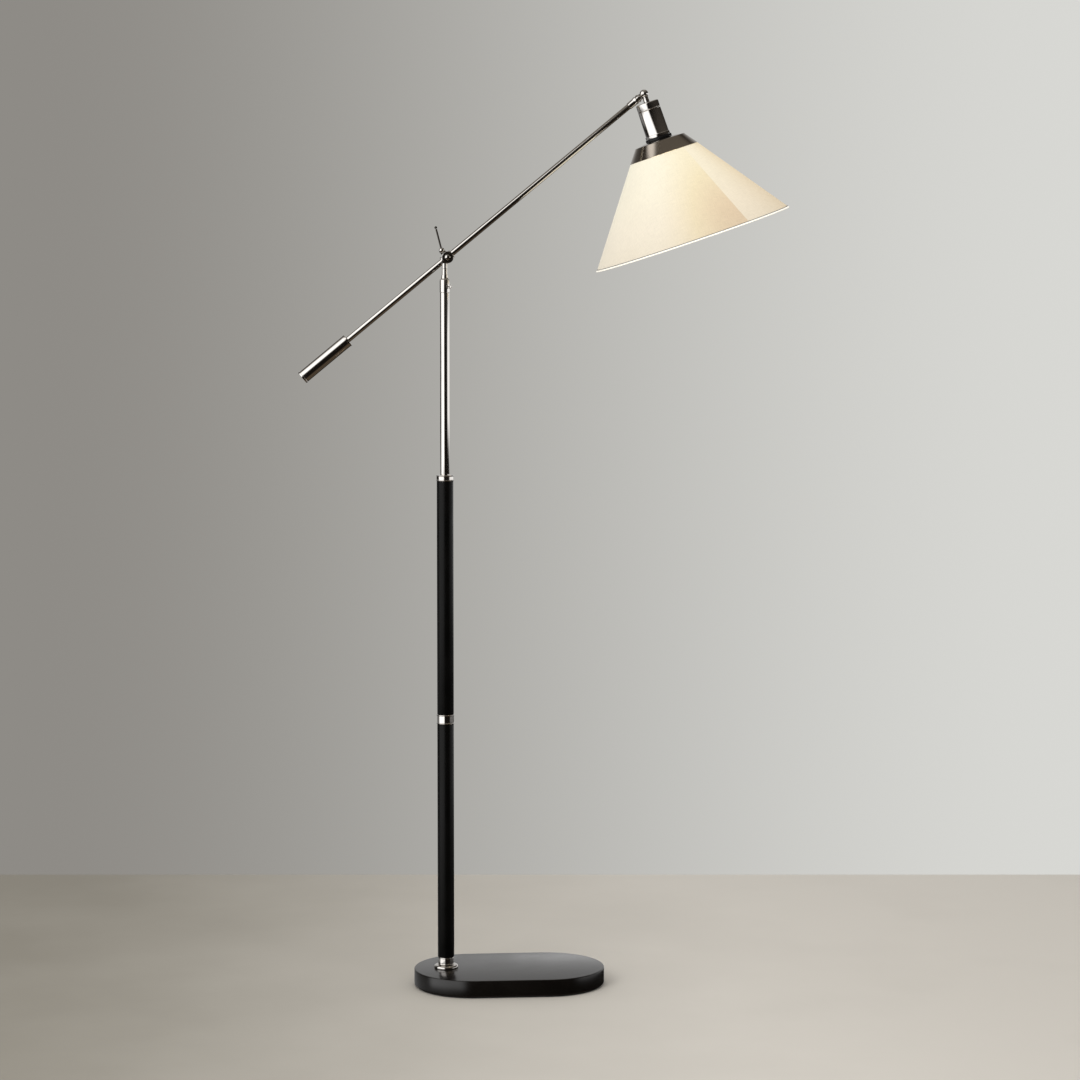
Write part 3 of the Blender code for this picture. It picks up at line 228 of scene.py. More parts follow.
@dataclass(frozen=True)
class Metal:
    """A bare or plated metal, and the record's slot that it fills.

    The colour is the metal's own, the roughness is how far its surface spreads a reflection, and the
    grain is the fine lines left by a buffing wheel or a belt, which smear highlights across them.
    """

    name: str
    colour: str
    roughness: float
    spread: float
    grain: Grain
    line_mm: float
    depth_um: float
    slot: str = "nickel"

    def dress(self, matrix: Matrix) -> bpy.types.Material:
        """Make the metal for a piece that has these axes.

        Args:
            matrix: The piece's axes.

        Returns:
            The material.
        """
        recipe = Recipe(self.name)
        fine = 1000 / self.line_mm
        # Lines run round the axis where the pattern is long in x and y, and along it where long in z
        scale = {Grain.ROUND: (fine * 0.02, fine * 0.02, fine), Grain.ALONG: (fine, fine, fine * 0.012),
                 Grain.NONE: (fine * 0.5, fine * 0.5, fine * 0.5)}[self.grain]
        lines = recipe.noise(2.0, matrix, scale)
        haze = recipe.noise(3.0, matrix, (45, 45, 45))
        mixed = recipe.maths("MULTIPLY", lines, haze)
        low, high = self.roughness - self.spread, self.roughness + self.spread
        rough = recipe.add("MapRange", Value=mixed, From_Min=0.1, From_Max=0.4, To_Min=low, To_Max=high)
        tint = recipe.add("HueSaturation", Color=linear(self.colour),
                          Value=recipe.maths("MULTIPLY_ADD", haze, 0.12, 0.94))
        recipe.finish(Metallic=1.0, Base_Color=tint.outputs[0], Roughness=rough.outputs[0])
        recipe.bump(lines, self.depth_um * 1e-6)
        return recipe.material


# Nickel plate, buffed on a wheel: a warm mirror with fine lines round each turned piece
NICKEL = Metal("nickel plate, buffed", "#DEDAD5", 0.09, 0.03, Grain.ROUND, 0.5, 1.0)
# The same plate drawn lengthwise on tube: reflections stay sharp across and smear a little along
NICKEL_TUBE = Metal("nickel plate, drawn tube", "#DEDAD5", 0.09, 0.03, Grain.ALONG, 0.8, 0.8)
# Satin nickel: brushed with a belt round the spun cone, so it is greyer and spreads highlights
NICKEL_SATIN = Metal("satin nickel, spun and brushed", "#A89F94", 0.15, 0.04, Grain.ROUND, 0.35, 4.0,
                     "nickel_brushed")
# Black nickel on thin turned steel: a smoky plate, so that the lever reads as a dark line
NICKEL_BLACK = Metal("black nickel plate, bright", "#4A4540", 0.14, 0.03, Grain.ROUND, 0.5, 1.0)
# Bright zinc on small steel fasteners: cool grey and slightly cloudy
ZINC_STEEL = Metal("zinc plated steel", "#AEB0B2", 0.34, 0.08, Grain.NONE, 0.8, 3.0, "steel")
# Cartridge brass, stamped thin: yellow and softly bright
BRASS = Metal("cartridge brass, stamped", "#D0A95C", 0.26, 0.07, Grain.ROUND, 0.6, 3.0, "brass")


@dataclass(frozen=True)
class Coating:
    """Paint, powder or plastic over a plain body: a base colour under a mottled gloss."""

    name: str
    slot: str
    dark: str
    light: str
    roughness: float
    spread: float
    grit_mm: float
    depth_um: float
    specular: float = 0.5
    coat: float = 0.0

    def dress(self, matrix: Matrix) -> bpy.types.Material:
        """Make the coating for a piece that has these axes.

        Args:
            matrix: The piece's axes.

        Returns:
            The material.
        """
        recipe = Recipe(self.name)
        fine = 1000 / self.grit_mm
        grit = recipe.noise(2.0, matrix, (fine, fine, fine))
        cloud = recipe.noise(4.0, matrix, (22, 22, 22))
        rough = recipe.add("MapRange", Value=cloud, From_Min=0.35, From_Max=0.65,
                           To_Min=self.roughness - self.spread, To_Max=self.roughness + self.spread)
        recipe.finish(Base_Color=recipe.ramp(cloud, (0.35, self.dark), (0.65, self.light)),
                      Roughness=rough.outputs[0], IOR=1.5, Specular_IOR_Level=self.specular,
                      Coat_Weight=self.coat, Coat_Roughness=0.16)
        recipe.bump(grit, self.depth_um * 1e-6)
        return recipe.material


# Semi-gloss powder coat baked on cast iron: near black, with a very fine pebble that softens the sheen
POWDER_COAT = Coating("powder coat, semi-gloss black", "black_base", "#0D0A08", "#13100D",
                      0.24, 0.02, 0.9, 6.0, 0.42, 0.25)
# Satin enamel sprayed on drawn steel tube: near black and even, with a soft vertical sheen
SATIN_ENAMEL = Coating("satin enamel, black", "black_stem", "#060605", "#0A0908",
                       0.34, 0.04, 0.6, 4.0, 0.16)
# Phenolic, moulded: black with a dull, faintly speckled face
PHENOLIC = Coating("moulded phenolic, black", "black_plastic", "#0B0A0A", "#141313",
                   0.40, 0.08, 0.5, 6.0, 0.35)
# Closed-cell foam sheet: dark grey, dull and finely pitted
FOAM = Coating("closed-cell foam, dark grey", "pad", "#1E1E1F", "#2A2A2B", 0.92, 0.04, 0.8, 60.0)
# Steatite, pressed and fired: off-white with a dull skin
STEATITE = Coating("steatite, pressed", "ceramic", "#D8D4C8", "#E3DFD4", 0.38, 0.08, 0.7, 10.0)
# White epoxy dip on drawn wire: smooth, bright and slightly uneven
WHITE_EPOXY = Coating("epoxy coated wire, white", "white_wire", "#D9D8D2", "#E6E5DF", 0.34, 0.06, 1.2, 12.0)
# Silicone insulation on flexible lead: beige and dull
INSULATION = Coating("silicone insulation", "lead", "#B7AD9A", "#C6BDAA", 0.5, 0.06, 0.8, 10.0)


@dataclass(frozen=True)
class LampCloth:
    """Linen laminated on a clear film, with the bulb's glow coming through it.

    The weave is plain and its slubs make uneven threads. The bulb's glow through it is painted as emission,
    strongest by the filament, warming and fading to the rim, with painted shade at the seam's lap and past
    it.
    """

    name: str = "linen laminate, cream, lit"
    thread_mm: float = 1.1
    slub_mm: float = 14.0
    weave_um: float = 45.0
    strength: float = 0.47

    def dress(self, matrix: Matrix, glow: Vector, near: float, far: float) -> bpy.types.Material:
        """Make the cloth.

        Args:
            matrix: The shade's axes.
            glow: Where the light comes from, in the row frame.
            near: Distance from the light to the nearest cloth.
            far: Distance from the light to the rim.

        Returns:
            The material.
        """
        recipe = Recipe(self.name)
        flat = recipe.add("UVMap", {"uv_map": "Flat"}).outputs[0]
        # The Flat map is in metres on the cut cloth; a thread every 0.35 mm would vanish, so it is 1.1 mm
        scale = 1 / (self.thread_mm * MM) / 20 * math.tau
        threads = [recipe.add("TexWave", {"bands_direction": way}, Vector=flat, Scale=scale, Distortion=1.2,
                              Detail=2.0, Detail_Scale=2.0).outputs["Fac"] for way in ("X", "Y")]
        weave = recipe.maths("MULTIPLY", recipe.maths("ADD", *threads), 0.5)
        fine = 1000 / self.slub_mm
        slubs = [recipe.add("TexNoise", Vector=recipe.add("Mapping", Vector=flat, Scale=way).outputs[0],
                            Scale=1.0, Detail=3.0).outputs[0]
                 for way in ((fine, fine * 14, 1), (fine * 14, fine, 1))]
        slub = recipe.maths("MULTIPLY", recipe.maths("ADD", *slubs), 0.5)
        cloud = recipe.noise(3.0, matrix, (14, 14, 14))
        point = recipe.add("TexCoord").outputs["Object"]
        away = recipe.add("VectorMath", {"operation": "DISTANCE"}, i0=point, i1=glow).outputs["Value"]
        fall = recipe.add("MapRange", Value=away, From_Min=near, From_Max=far).outputs[0]
        round_map = recipe.add("UVMap", {"uv_map": "Around"}).outputs[0]
        around = recipe.add("SeparateXYZ", Vector=round_map).outputs
        down = around["Y"]
        # Painted shade just before the seam, where the end laid over the other passes less light, and more
        # so low down
        lap = recipe.maths("MULTIPLY", recipe.fade(around["X"], 0.84, 0.995),
                           recipe.fade(down, 0.0, 0.95, 0.3, 1.0))
        # Painted shade past the seam: the glow there is made darker and warmer
        past = recipe.maths("MULTIPLY", recipe.fade(around["X"], 0.006, 0.17, 0.3, 1.0),
                            recipe.fade(around["X"], 0.006, 0.012))
        past = recipe.maths("MULTIPLY", past, recipe.fade(around["X"], 0.22, 0.5, 1.0, 0.0))
        # The bulb's light through the cloth is a painted glow, brightest near the filament and fading
        # towards the rim
        light = recipe.ramp(fall, (0.0, "#FFFFEC"), (0.35, "#FBF8E6"), (0.7, "#F0EADB"), (1.0, "#E2DCCD"))
        lapped = recipe.ramp(lap, (0.0, "#FFFFFF"), (0.5, "#F0E2BC"), (1.0, "#D4AE80"))
        past_seam_shade = recipe.ramp(past, (0.0, "#FFFFFF"), (1.0, "#E6CDA4"))
        light = recipe.add("VectorMath", {"operation": "MULTIPLY"}, i0=light, i1=lapped).outputs[0]
        light = recipe.add("VectorMath", {"operation": "MULTIPLY"}, i0=light, i1=past_seam_shade).outputs[0]
        level = recipe.maths("MULTIPLY", recipe.maths("MULTIPLY_ADD", slub, 0.16, 0.92),
                             recipe.maths("MULTIPLY_ADD", cloud, 0.14, 0.93))
        recipe.finish(Base_Color=recipe.ramp(slub, (0.35, "#A99F8C"), (0.65, "#B8AE9B")), Roughness=0.82,
                      Sheen_Weight=0.12, Sheen_Roughness=0.5, Emission_Color=light,
                      Emission_Strength=recipe.maths("MULTIPLY", level, self.strength))
        recipe.bump(recipe.maths("MULTIPLY_ADD", slub, 1.5, weave), self.weave_um * 1e-6)
        return recipe.material


# Cream linen on clear film: pale and matt, with crossing slubs that show as fine lines against the light
LINEN = LampCloth()


@dataclass(frozen=True)
class TrimTape:
    """Rolled cotton tape glued over the rim: fine ribs across it and a soft off-white."""

    name: str = "cotton trim tape, off-white"
    rib_mm: float = 1.2
    rim_mm: float = 172.0
    # Width of the painted shadow line along the tape's upper edge
    shadow_line_mm: float = 1.1

    def dress(self, matrix: Matrix, top: float) -> bpy.types.Material:
        """Make the tape for a rim with these axes, its upper edge at this height.

        Args:
            matrix: The rim's axes.
            top: Height of the tape's upper edge on them.

        Returns:
            The material.
        """
        recipe = Recipe(self.name)
        point = recipe.place(matrix)
        across = recipe.add("SeparateXYZ", Vector=point).outputs
        angle = recipe.maths("ARCTAN2", across["Y"], across["X"])
        ribs = recipe.maths("SINE", recipe.maths("MULTIPLY", angle, math.tau * self.rim_mm / self.rib_mm))
        lint = recipe.noise(3.0, matrix, (700, 700, 700))
        # Painted shadow line: the tape's upper edge is darkened, and its painted glow is dimmed with it
        line = self.shadow_line_mm * MM
        pressed = recipe.fade(across["Z"], top - line, top - 0.6 * line, 1.0, 0.12)
        cotton = recipe.ramp(lint, (0.3, "#E9E4D8"), (0.7, "#F6F2E8"))
        tone = recipe.add("VectorMath", {"operation": "SCALE"}, i0=cotton, Scale=pressed).outputs[0]
        # The emission is a painted glow, as of the bulb's light through the cotton
        recipe.finish(Base_Color=tone, Roughness=0.85, Sheen_Weight=0.2, Emission_Color=linear("#FFF7E6"),
                      Emission_Strength=recipe.maths("MULTIPLY", pressed, 0.30))
        recipe.bump(recipe.maths("MULTIPLY_ADD", ribs, 0.5, lint), 0.08 * MM)
        return recipe.material


@dataclass(frozen=True)
class FrostedGlass:
    """Etched bulb glass, lit from inside: white-hot in the middle and softer near the neck."""

    name: str = "etched bulb glass, lit"
    slot: str = "opal_glass"
    strength: float = 5.0
    tip: float = -155 * MM
    shoulder: float = -80 * MM

    def dress(self, matrix: Matrix) -> bpy.types.Material:
        """Make the glass for a bulb with these axes.

        Args:
            matrix: The bulb's axes.

        Returns:
            The material.
        """
        recipe = Recipe(self.name)
        etch = recipe.noise(2.0, matrix, (900, 900, 900))
        height = recipe.add("SeparateXYZ", Vector=recipe.place(matrix)).outputs["Z"]
        fade = recipe.add("MapRange", Value=height, From_Min=self.tip, From_Max=self.shoulder,
                          To_Min=1.0, To_Max=0.25).outputs[0]
        recipe.finish(Base_Color=recipe.ramp(etch, (0.3, "#F1ECE0"), (0.7, "#FBF7EC")), Roughness=0.45,
                      IOR=1.5, Emission_Color=linear("#FFE3B0"),
                      Emission_Strength=recipe.maths("MULTIPLY", fade, self.strength))
        recipe.bump(etch, 0.01 * MM)
        return recipe.material


@dataclass(frozen=True)
class StudioPaper:
    """Pale seamless paper: dull, with barely visible mottling and painted shade towards one side."""

    name: str
    low: str
    high: str
    fade_from: float = -0.9
    fade_to: float = 0.7

    def dress(self, bearing: float) -> bpy.types.Material:
        """Make the paper, darker on the camera's left by a slow fade of painted shade.

        Args:
            bearing: The camera's bearing in degrees.

        Returns:
            The material.
        """
        recipe = Recipe(self.name)
        across = recipe.place(Matrix.Rotation(-math.radians(bearing), 4, "Z"))
        side = recipe.add("SeparateXYZ", Vector=across).outputs["X"]
        # Painted shade: the paper fades darker towards the camera's left
        side = recipe.fade(side, self.fade_from, self.fade_to)
        mottle = recipe.noise(6.0, None, (3, 3, 3))
        tone = recipe.maths("MULTIPLY_ADD", mottle, 0.25, recipe.maths("SUBTRACT", side, 0.125))
        recipe.finish(Base_Color=recipe.ramp(tone, (0.0, self.low), (1.0, self.high)), Roughness=0.75)
        return recipe.material


# ---------------------------------------------------------------- axes and measures


@dataclass(frozen=True)
class Span:
    """How far a node reaches along and round an axis."""

    low: float
    high: float
    radius: float
    bore: float

    @property
    def length(self) -> float:
        """Length along the axis."""
        return self.high - self.low


@dataclass(frozen=True)
class Axes:
    """A local frame in the row frame; pieces turn about its z."""

    matrix: Matrix

    @staticmethod
    def along(origin: Sequence[float], axis: Sequence[float], side: Sequence[float] = (0, 1, 0)) -> Axes:
        """Set up axes at a point, with z along one direction and y close to another.

        Args:
            origin: Where the axes stand.
            axis: Direction of z.
            side: Direction that y keeps as near to as it can.

        Returns:
            The axes.
        """
        up = Vector(axis).normalized()
        right = Vector(side).cross(up).normalized()
        back = up.cross(right)
        turn = Matrix((right, back, up)).transposed().to_4x4()
        return Axes(Matrix.Translation(Vector(origin)) @ turn)

    def span(self, node: str) -> Span:
        """Measure a node of the frame about these axes.

        Args:
            node: The node's name.

        Returns:
            Its reach along and round them.
        """
        inverse = self.matrix.inverted()
        points = [inverse @ vertex.co for vertex in frame["nodes"][node].data.vertices]
        radii = [math.hypot(point.x, point.y) for point in points]
        heights = [point.z for point in points]
        return Span(min(heights), max(heights), max(radii), min(radii))

    def point(self, x: float, y: float, z: float) -> Vector:
        """Give a local point in the row frame."""
        return self.matrix @ Vector((x, y, z))

    def turned(self, at: Sequence[float], axis: Sequence[float], side: Sequence[float] = (0, 1, 0)) -> Axes:
        """Set up further axes at a local point, along a local direction."""
        turn = self.matrix.to_3x3()
        return Axes.along(self.point(*at), turn @ Vector(axis), turn @ Vector(side))


def joint(name: str) -> dict[str, Any]:
    """Give a joint of the frame by name."""
    return next(item for item in frame["joints"] if item["name"] == name)


def joint_axes(name: str) -> Axes:
    """Axes of a joint, z along it and y as near upright as it can be."""
    return Axes.along(joint(name)["pos_m"], joint(name)["axis"], (0, 0, 1))


STEM = Axes.along((0, 0, 0), (0, 0, 1))
ARM = Axes.along(joint("boom_tilt")["pos_m"], joint("arm_slide")["axis"])
KNUCKLE = Axes.along(joint("head_roll")["pos_m"], joint("head_roll")["axis"])
HEAD = Axes.along(joint("head_tilt")["pos_m"],
                  Vector(joint("head_tilt")["pos_m"]) - Vector(joint("switch_turn")["pos_m"]))


# ---------------------------------------------------------------- modelling


def alone() -> None:
    """Leave edit mode and deselect every object."""
    if bpy.context.object is not None and bpy.context.object.mode != "OBJECT":
        bpy.ops.object.mode_set(mode="OBJECT")
    bpy.ops.object.select_all(action="DESELECT")


def pick(item: bpy.types.Object) -> bpy.types.Object:
    """Make one object the only selected and active one.

    Args:
        item: The object.

    Returns:
        The object.
    """
    alone()
    item.select_set(True)
    bpy.context.view_layer.objects.active = item
    return item


def choose(item: bpy.types.Object, test: Callable[[Vector], bool], faces: bool = False) -> None:
    """Select, in edit mode, the vertices or faces whose place passes a test.

    Args:
        item: The object in edit mode.
        test: Tells from a place whether to select it.
        faces: True to select faces by their middles.
    """
    bpy.ops.mesh.select_all(action="DESELECT")
    bpy.ops.mesh.select_mode(type="FACE" if faces else "VERT")
    shape = bmesh.from_edit_mesh(item.data)
    if faces:
        for face in shape.faces:
            face.select_set(test(face.calc_center_median()))
    else:
        for vertex in shape.verts:
            vertex.select_set(test(vertex.co))
    shape.select_flush_mode()
    bmesh.update_edit_mesh(item.data)


def soften(item: bpy.types.Object, width: float, steps: int = 3, angle: float = 35.0) -> bpy.types.Object:
    """Round a piece's sharp edges with an applied bevel.

    Args:
        item: The piece.
        width: The bevel's width.
        steps: Facets across the bevel.
        angle: Least angle in degrees of an edge that is rounded.

    Returns:
        The piece.
    """
    pick(item)
    edge = item.modifiers.new("edge", "BEVEL")
    edge.width = width
    edge.segments = steps
    edge.limit_method = "ANGLE"
    edge.angle_limit = math.radians(angle)
    bpy.ops.object.modifier_apply(modifier=edge.name)
    return item


def settle(item: bpy.types.Object, axes: Axes, smooth: float = 30.0) -> bpy.types.Object:
    """Put a piece's place in its mesh, and shade it smooth between sharp edges.

    Args:
        item: The piece.
        axes: Where its z goes.
        smooth: Steepest angle in degrees that is still shaded smooth.

    Returns:
        The piece.
    """
    pick(item)
    item.matrix_world = axes.matrix @ item.matrix_world
    bpy.ops.object.transform_apply(location=True, rotation=True, scale=True)
    bpy.ops.object.shade_smooth_by_angle(angle=math.radians(smooth))
    return item


def tidy_normals(item: bpy.types.Object) -> None:
    """Merge doubles and face everything outwards.

    Args:
        item: The piece.
    """
    pick(item)
    bpy.ops.object.mode_set(mode="EDIT")
    bpy.ops.mesh.select_all(action="SELECT")
    bpy.ops.mesh.remove_doubles(threshold=1e-6)
    bpy.ops.mesh.normals_make_consistent(inside=False)
    bpy.ops.object.mode_set(mode="OBJECT")


def turn_piece(name: str, outline: Outline, sides: int = 96, edge: float = 0.0) -> bpy.types.Object:
    """Turn a piece by drawing a circle out and along, ring by ring.

    Args:
        name: The piece's name.
        outline: Radius and height of each ring. A radius of zero closes that end; with none, the last
            ring joins the first and the piece is a tube.
        sides: Facets round the piece.
        edge: Width of the bevel on its sharp edges.

    Returns:
        The piece, about the world's z.
    """
    alone()
    rings = [ring for ring in outline if ring[0] > 0]
    open_tube = len(rings) == len(outline)
    first, height = rings[0]
    bpy.ops.mesh.primitive_circle_add(vertices=sides, radius=first, fill_type="NOTHING",
                                      location=(0, 0, 0))
    item = bpy.context.object
    item.name = name
    item.data.name = name
    bpy.ops.object.mode_set(mode="EDIT")
    bpy.ops.mesh.select_all(action="SELECT")
    bpy.ops.transform.translate(value=(0, 0, height))
    if outline[0][0] == 0:
        close_end(outline[0][1] - height)
        choose(item, lambda co: abs(math.hypot(co.x, co.y) - first) < 1e-6 and abs(co.z - height) < 1e-6)
    steps = list(zip(rings, rings[1:] + ([rings[0]] if open_tube else [])))
    for (near, low), (far, high) in steps:
        bpy.ops.mesh.extrude_region_move(TRANSFORM_OT_translate={"value": (0, 0, high - low)})
        bpy.ops.transform.resize(value=(far / near, far / near, 1), center_override=(0, 0, high))
    if outline[-1][0] == 0:
        close_end(outline[-1][1] - rings[-1][1])
    bpy.ops.object.mode_set(mode="OBJECT")
    tidy_normals(item)
    if edge:
        soften(item, edge)
    return item


def close_end(rise: float) -> None:
    """Close the selected ring to a point that stands off it by a rise."""
    bpy.ops.mesh.extrude_region_move(TRANSFORM_OT_translate={"value": (0, 0, rise)})
    bpy.ops.mesh.merge(type="CENTER")


def arc(radius: float, start: float, stop: float, steps: int, at: tuple[float, float] = (0.0, 0.0)) -> list:
    """List points of an arc in a turned outline.

    Args:
        radius: The arc's radius.
        start: Its first angle in degrees, up from the radius.
        stop: Its last angle.
        steps: Facets along it.
        at: Its centre.

    Returns:
        Radius and height of each point.
    """
    angles = [math.radians(start + (stop - start) * step / steps) for step in range(steps + 1)]
    return [(at[0] + radius * math.cos(angle), at[1] + radius * math.sin(angle)) for angle in angles]


def oval(across: float, up: float, angles: range, at: tuple[float, float]) -> list[tuple[float, float]]:
    """List points of an oval crown in a turned outline.

    Args:
        across: Half its width.
        up: Its height.
        angles: Degrees from its top.
        at: Its centre.

    Returns:
        Radius and height of each point.
    """
    return [(at[0] + across * math.sin(math.radians(angle)), at[1] + up * math.cos(math.radians(angle)))
            for angle in angles]


def tube(span: Span, wall: float) -> list[tuple[float, float]]:
    """Outline a plain tube over a node's length."""
    inner = span.radius - wall
    return [(span.radius, span.high), (span.radius, span.low), (inner, span.low), (inner, span.high)]


def prism_bar(name: str, sides: int, radius: float, low: float, high: float) -> bpy.types.Object:
    """Start a bar of few sides, such as a nut's blank.

    Args:
        name: The bar's name.
        sides: Facets round it.
        radius: Its radius to the corners.
        low: Height of its foot.
        high: Height of its top.

    Returns:
        The bar.
    """
    alone()
    bpy.ops.mesh.primitive_cylinder_add(vertices=sides, radius=radius, depth=high - low,
                                        location=(0, 0, (low + high) / 2))
    item = bpy.context.object
    item.name = name
    item.data.name = name
    bpy.ops.object.transform_apply(location=True, rotation=True, scale=True)
    return item


def brick(name: str, low: Sequence[float], high: Sequence[float]) -> bpy.types.Object:
    """Start a block between two corners.

    Args:
        name: The block's name.
        low: Its lowest corner.
        high: Its highest corner.

    Returns:
        The block.
    """
    alone()
    middle = [(a + b) / 2 for a, b in zip(low, high)]
    bpy.ops.mesh.primitive_cube_add(size=1, location=middle)
    item = bpy.context.object
    item.scale = [b - a for a, b in zip(low, high)]
    item.name = name
    item.data.name = name
    bpy.ops.object.transform_apply(location=True, rotation=True, scale=True)
    return item


def spin_place(item: bpy.types.Object, matrix: Matrix) -> bpy.types.Object:
    """Turn or move a blank before it is joined or used to cut.

    Args:
        item: The blank.
        matrix: The move.

    Returns:
        The blank.
    """
    pick(item)
    item.matrix_world = matrix @ item.matrix_world
    bpy.ops.object.transform_apply(location=True, rotation=True, scale=True)
    return item


def shape_with(item: bpy.types.Object, operation: str, *tools: bpy.types.Object) -> bpy.types.Object:
    """Join blanks onto a piece or cut them from it, then clear them away.

    Args:
        item: The piece.
        operation: UNION, DIFFERENCE or INTERSECT.
        tools: The blanks.

    Returns:
        The piece.
    """
    for tool in tools:
        pick(item)
        step = item.modifiers.new("shape", "BOOLEAN")
        step.operation = operation
        step.object = tool
        step.solver = "EXACT"
        bpy.ops.object.modifier_apply(modifier=step.name)
        bpy.data.objects.remove(tool, do_unlink=True)
    return item


def sink_lines(item: bpy.types.Object, lines: int, every: int, outside: float, low: float,
               share: float) -> None:
    """Sink some of the lines of a turned rim, to leave knurls, flutes or notches.

    Args:
        item: The piece, about the world's z.
        lines: Lines round it.
        every: One line in this many is sunk.
        outside: Radius beyond which points move.
        low: Height above which points move.
        share: Share of their radius that the points keep.
    """
    pick(item)
    bpy.ops.object.mode_set(mode="EDIT")
    pitch = math.tau / lines

    def sunk(co: Vector) -> bool:
        """True on the lines that are sunk."""
        number = round(math.atan2(co.y, co.x) / pitch)
        return math.hypot(co.x, co.y) > outside and number % every == 0 and co.z > low

    choose(item, sunk)
    bpy.ops.transform.resize(value=(share, share, 1), center_override=(0, 0, 0))
    bpy.ops.object.mode_set(mode="OBJECT")


ACROSS = Matrix.Rotation(math.radians(90), 4, "X")


def hand_over(item: bpy.types.Object, material: bpy.types.Material, slot: str, body: str,
              *nodes: str) -> bpy.types.Object:
    """Dress a finished piece and fit it to the frame.

    Args:
        item: The piece, with its place in its mesh.
        material: Its finish.
        slot: The record's slot for that finish; not used.
        body: The body that carries it.
        nodes: The nodes that it stands for.

    Returns:
        The piece.
    """
    item.data.materials.clear()
    item.data.materials.append(material)
    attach(item, body)
    if nodes:
        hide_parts(*nodes)
    log.info("%s: %d faces on %s", item.name, len(item.data.polygons), body)
    return item


def deliver(item: bpy.types.Object, axes: Axes, finish: Metal | Coating | FrostedGlass, body: str,
            *nodes: str, smooth: float = 30.0) -> bpy.types.Object:
    """Put a finished piece in place, dress it along its own axes and fit it to the frame.

    Args:
        item: The piece, about the world's z.
        axes: Where its z goes.
        finish: Its finish, which names its slot.
        body: The body that carries it.
        nodes: The nodes that it stands for.
        smooth: Steepest angle in degrees that is still shaded smooth.

    Returns:
        The piece.
    """
    settle(item, axes, smooth)
    return hand_over(item, finish.dress(axes.matrix), finish.slot, body, *nodes)


# ---------------------------------------------------------------- base


@dataclass
class Base:
    """The cast plate with round ends, its foam pad and the cord's inlet."""

    edge: float = 1.8 * MM
    round_steps: int = 48
    pad_groove: float = 0.5 * MM

    def build(self) -> None:
        """Model the plate, the pad and the gland."""
        self.plate()
        self.pad()
        self.gland()

    def slab(self, name: str, node: str, edge: float) -> bpy.types.Object:
        """Model a slab with half-round ends over a node, from two round bars and a bridge.

        Args:
            name: The piece's name.
            node: The node that gives its size.
            edge: Width of the bevel on its rims.

        Returns:
            The slab in place.
        """
        low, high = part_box(node)
        radius = (high.y - low.y) / 2
        straight = (high.x - low.x) - 2 * radius
        middle = (low.x + high.x) / 2
        alone()
        bpy.ops.mesh.primitive_circle_add(vertices=self.round_steps * 2, radius=radius, fill_type="NGON",
                                          location=(0, 0, 0), rotation=(0, 0, 0))
        item = bpy.context.object
        item.name = name
        item.data.name = name
        bpy.ops.object.mode_set(mode="EDIT")
        # Split the disc across its middle and draw the two halves apart
        bpy.ops.mesh.select_all(action="SELECT")
        bpy.ops.mesh.bisect(plane_co=(0, 0, 0), plane_no=(1, 0, 0), clear_inner=True)
        bpy.ops.mesh.select_all(action="SELECT")
        bpy.ops.transform.translate(value=(straight / 2, 0, 0))
        choose(item, lambda co: co.x < straight / 2 + 1e-6)
        bpy.ops.mesh.extrude_region_move(TRANSFORM_OT_translate={"value": (-straight, 0, 0)})
        bpy.ops.object.mode_set(mode="OBJECT")
        self.far_end(item, straight, radius)
        bpy.ops.object.mode_set(mode="EDIT")
        bpy.ops.mesh.select_all(action="SELECT")
        bpy.ops.mesh.remove_doubles(threshold=1e-6)
        bpy.ops.mesh.select_all(action="SELECT")
        bpy.ops.mesh.dissolve_limited(angle_limit=math.radians(0.5))
        bpy.ops.mesh.select_all(action="SELECT")
        bpy.ops.mesh.extrude_region_move(TRANSFORM_OT_translate={"value": (0, 0, high.z - low.z)})
        bpy.ops.object.mode_set(mode="OBJECT")
        tidy_normals(item)
        spin_place(item, Matrix.Translation((middle, 0, low.z)))
        return soften(item, edge, 4)

    def far_end(self, item: bpy.types.Object, straight: float, radius: float) -> None:
        """Join the second half disc at the other end.

        Args:
            item: The first half disc.
            straight: Length between the round ends.
            radius: Radius of the round ends.
        """
        alone()
        bpy.ops.mesh.primitive_circle_add(vertices=self.round_steps * 2, radius=radius, fill_type="NGON",
                                          location=(0, 0, 0))
        other = bpy.context.object
        bpy.ops.object.mode_set(mode="EDIT")
        bpy.ops.mesh.select_all(action="SELECT")
        bpy.ops.mesh.bisect(plane_co=(0, 0, 0), plane_no=(1, 0, 0), clear_outer=True)
        bpy.ops.mesh.select_all(action="SELECT")
        bpy.ops.transform.translate(value=(-straight / 2, 0, 0))
        bpy.ops.object.mode_set(mode="OBJECT")
        alone()
        other.select_set(True)
        item.select_set(True)
        bpy.context.view_layer.objects.active = item
        bpy.ops.object.join()

    def plate(self) -> None:
        """Model the plate with a rounded rim."""
        item = self.slab("base_casting", "base_plate", self.edge)
        deliver(item, STEM, POWDER_COAT, "stand", "base_plate")

    def pad(self) -> None:
        """Model the pad that keeps the iron off the floor."""
        item = self.slab("base_foam_pad", "base_pad", self.pad_groove)
        deliver(item, STEM, FOAM, "stand", "base_pad")

    def gland(self) -> None:
        """Model the inlet's flanged bush at the back edge."""
        low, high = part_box("cord_gland")
        axes = Axes.along(((low.x + high.x) / 2, 0, (low.z + high.z) / 2), (0, 1, 0), (0, 0, 1))
        span = axes.span("cord_gland")
        lip = 3 * MM
        barrel = span.radius - 2.3 * MM
        corner = 1.2 * MM
        outline = [(span.bore, span.high),
                   *arc(corner, 90, 0, 4, (span.radius - corner, span.high - corner)),
                   (span.radius, span.high - lip), (barrel, span.high - lip), (barrel, span.low),
                   (span.bore, span.low)]
        deliver(turn_piece("cord_inlet_bush", outline, 48, 0.2 * MM),
                axes, PHENOLIC, "stand", "cord_gland")


# ---------------------------------------------------------------- pole


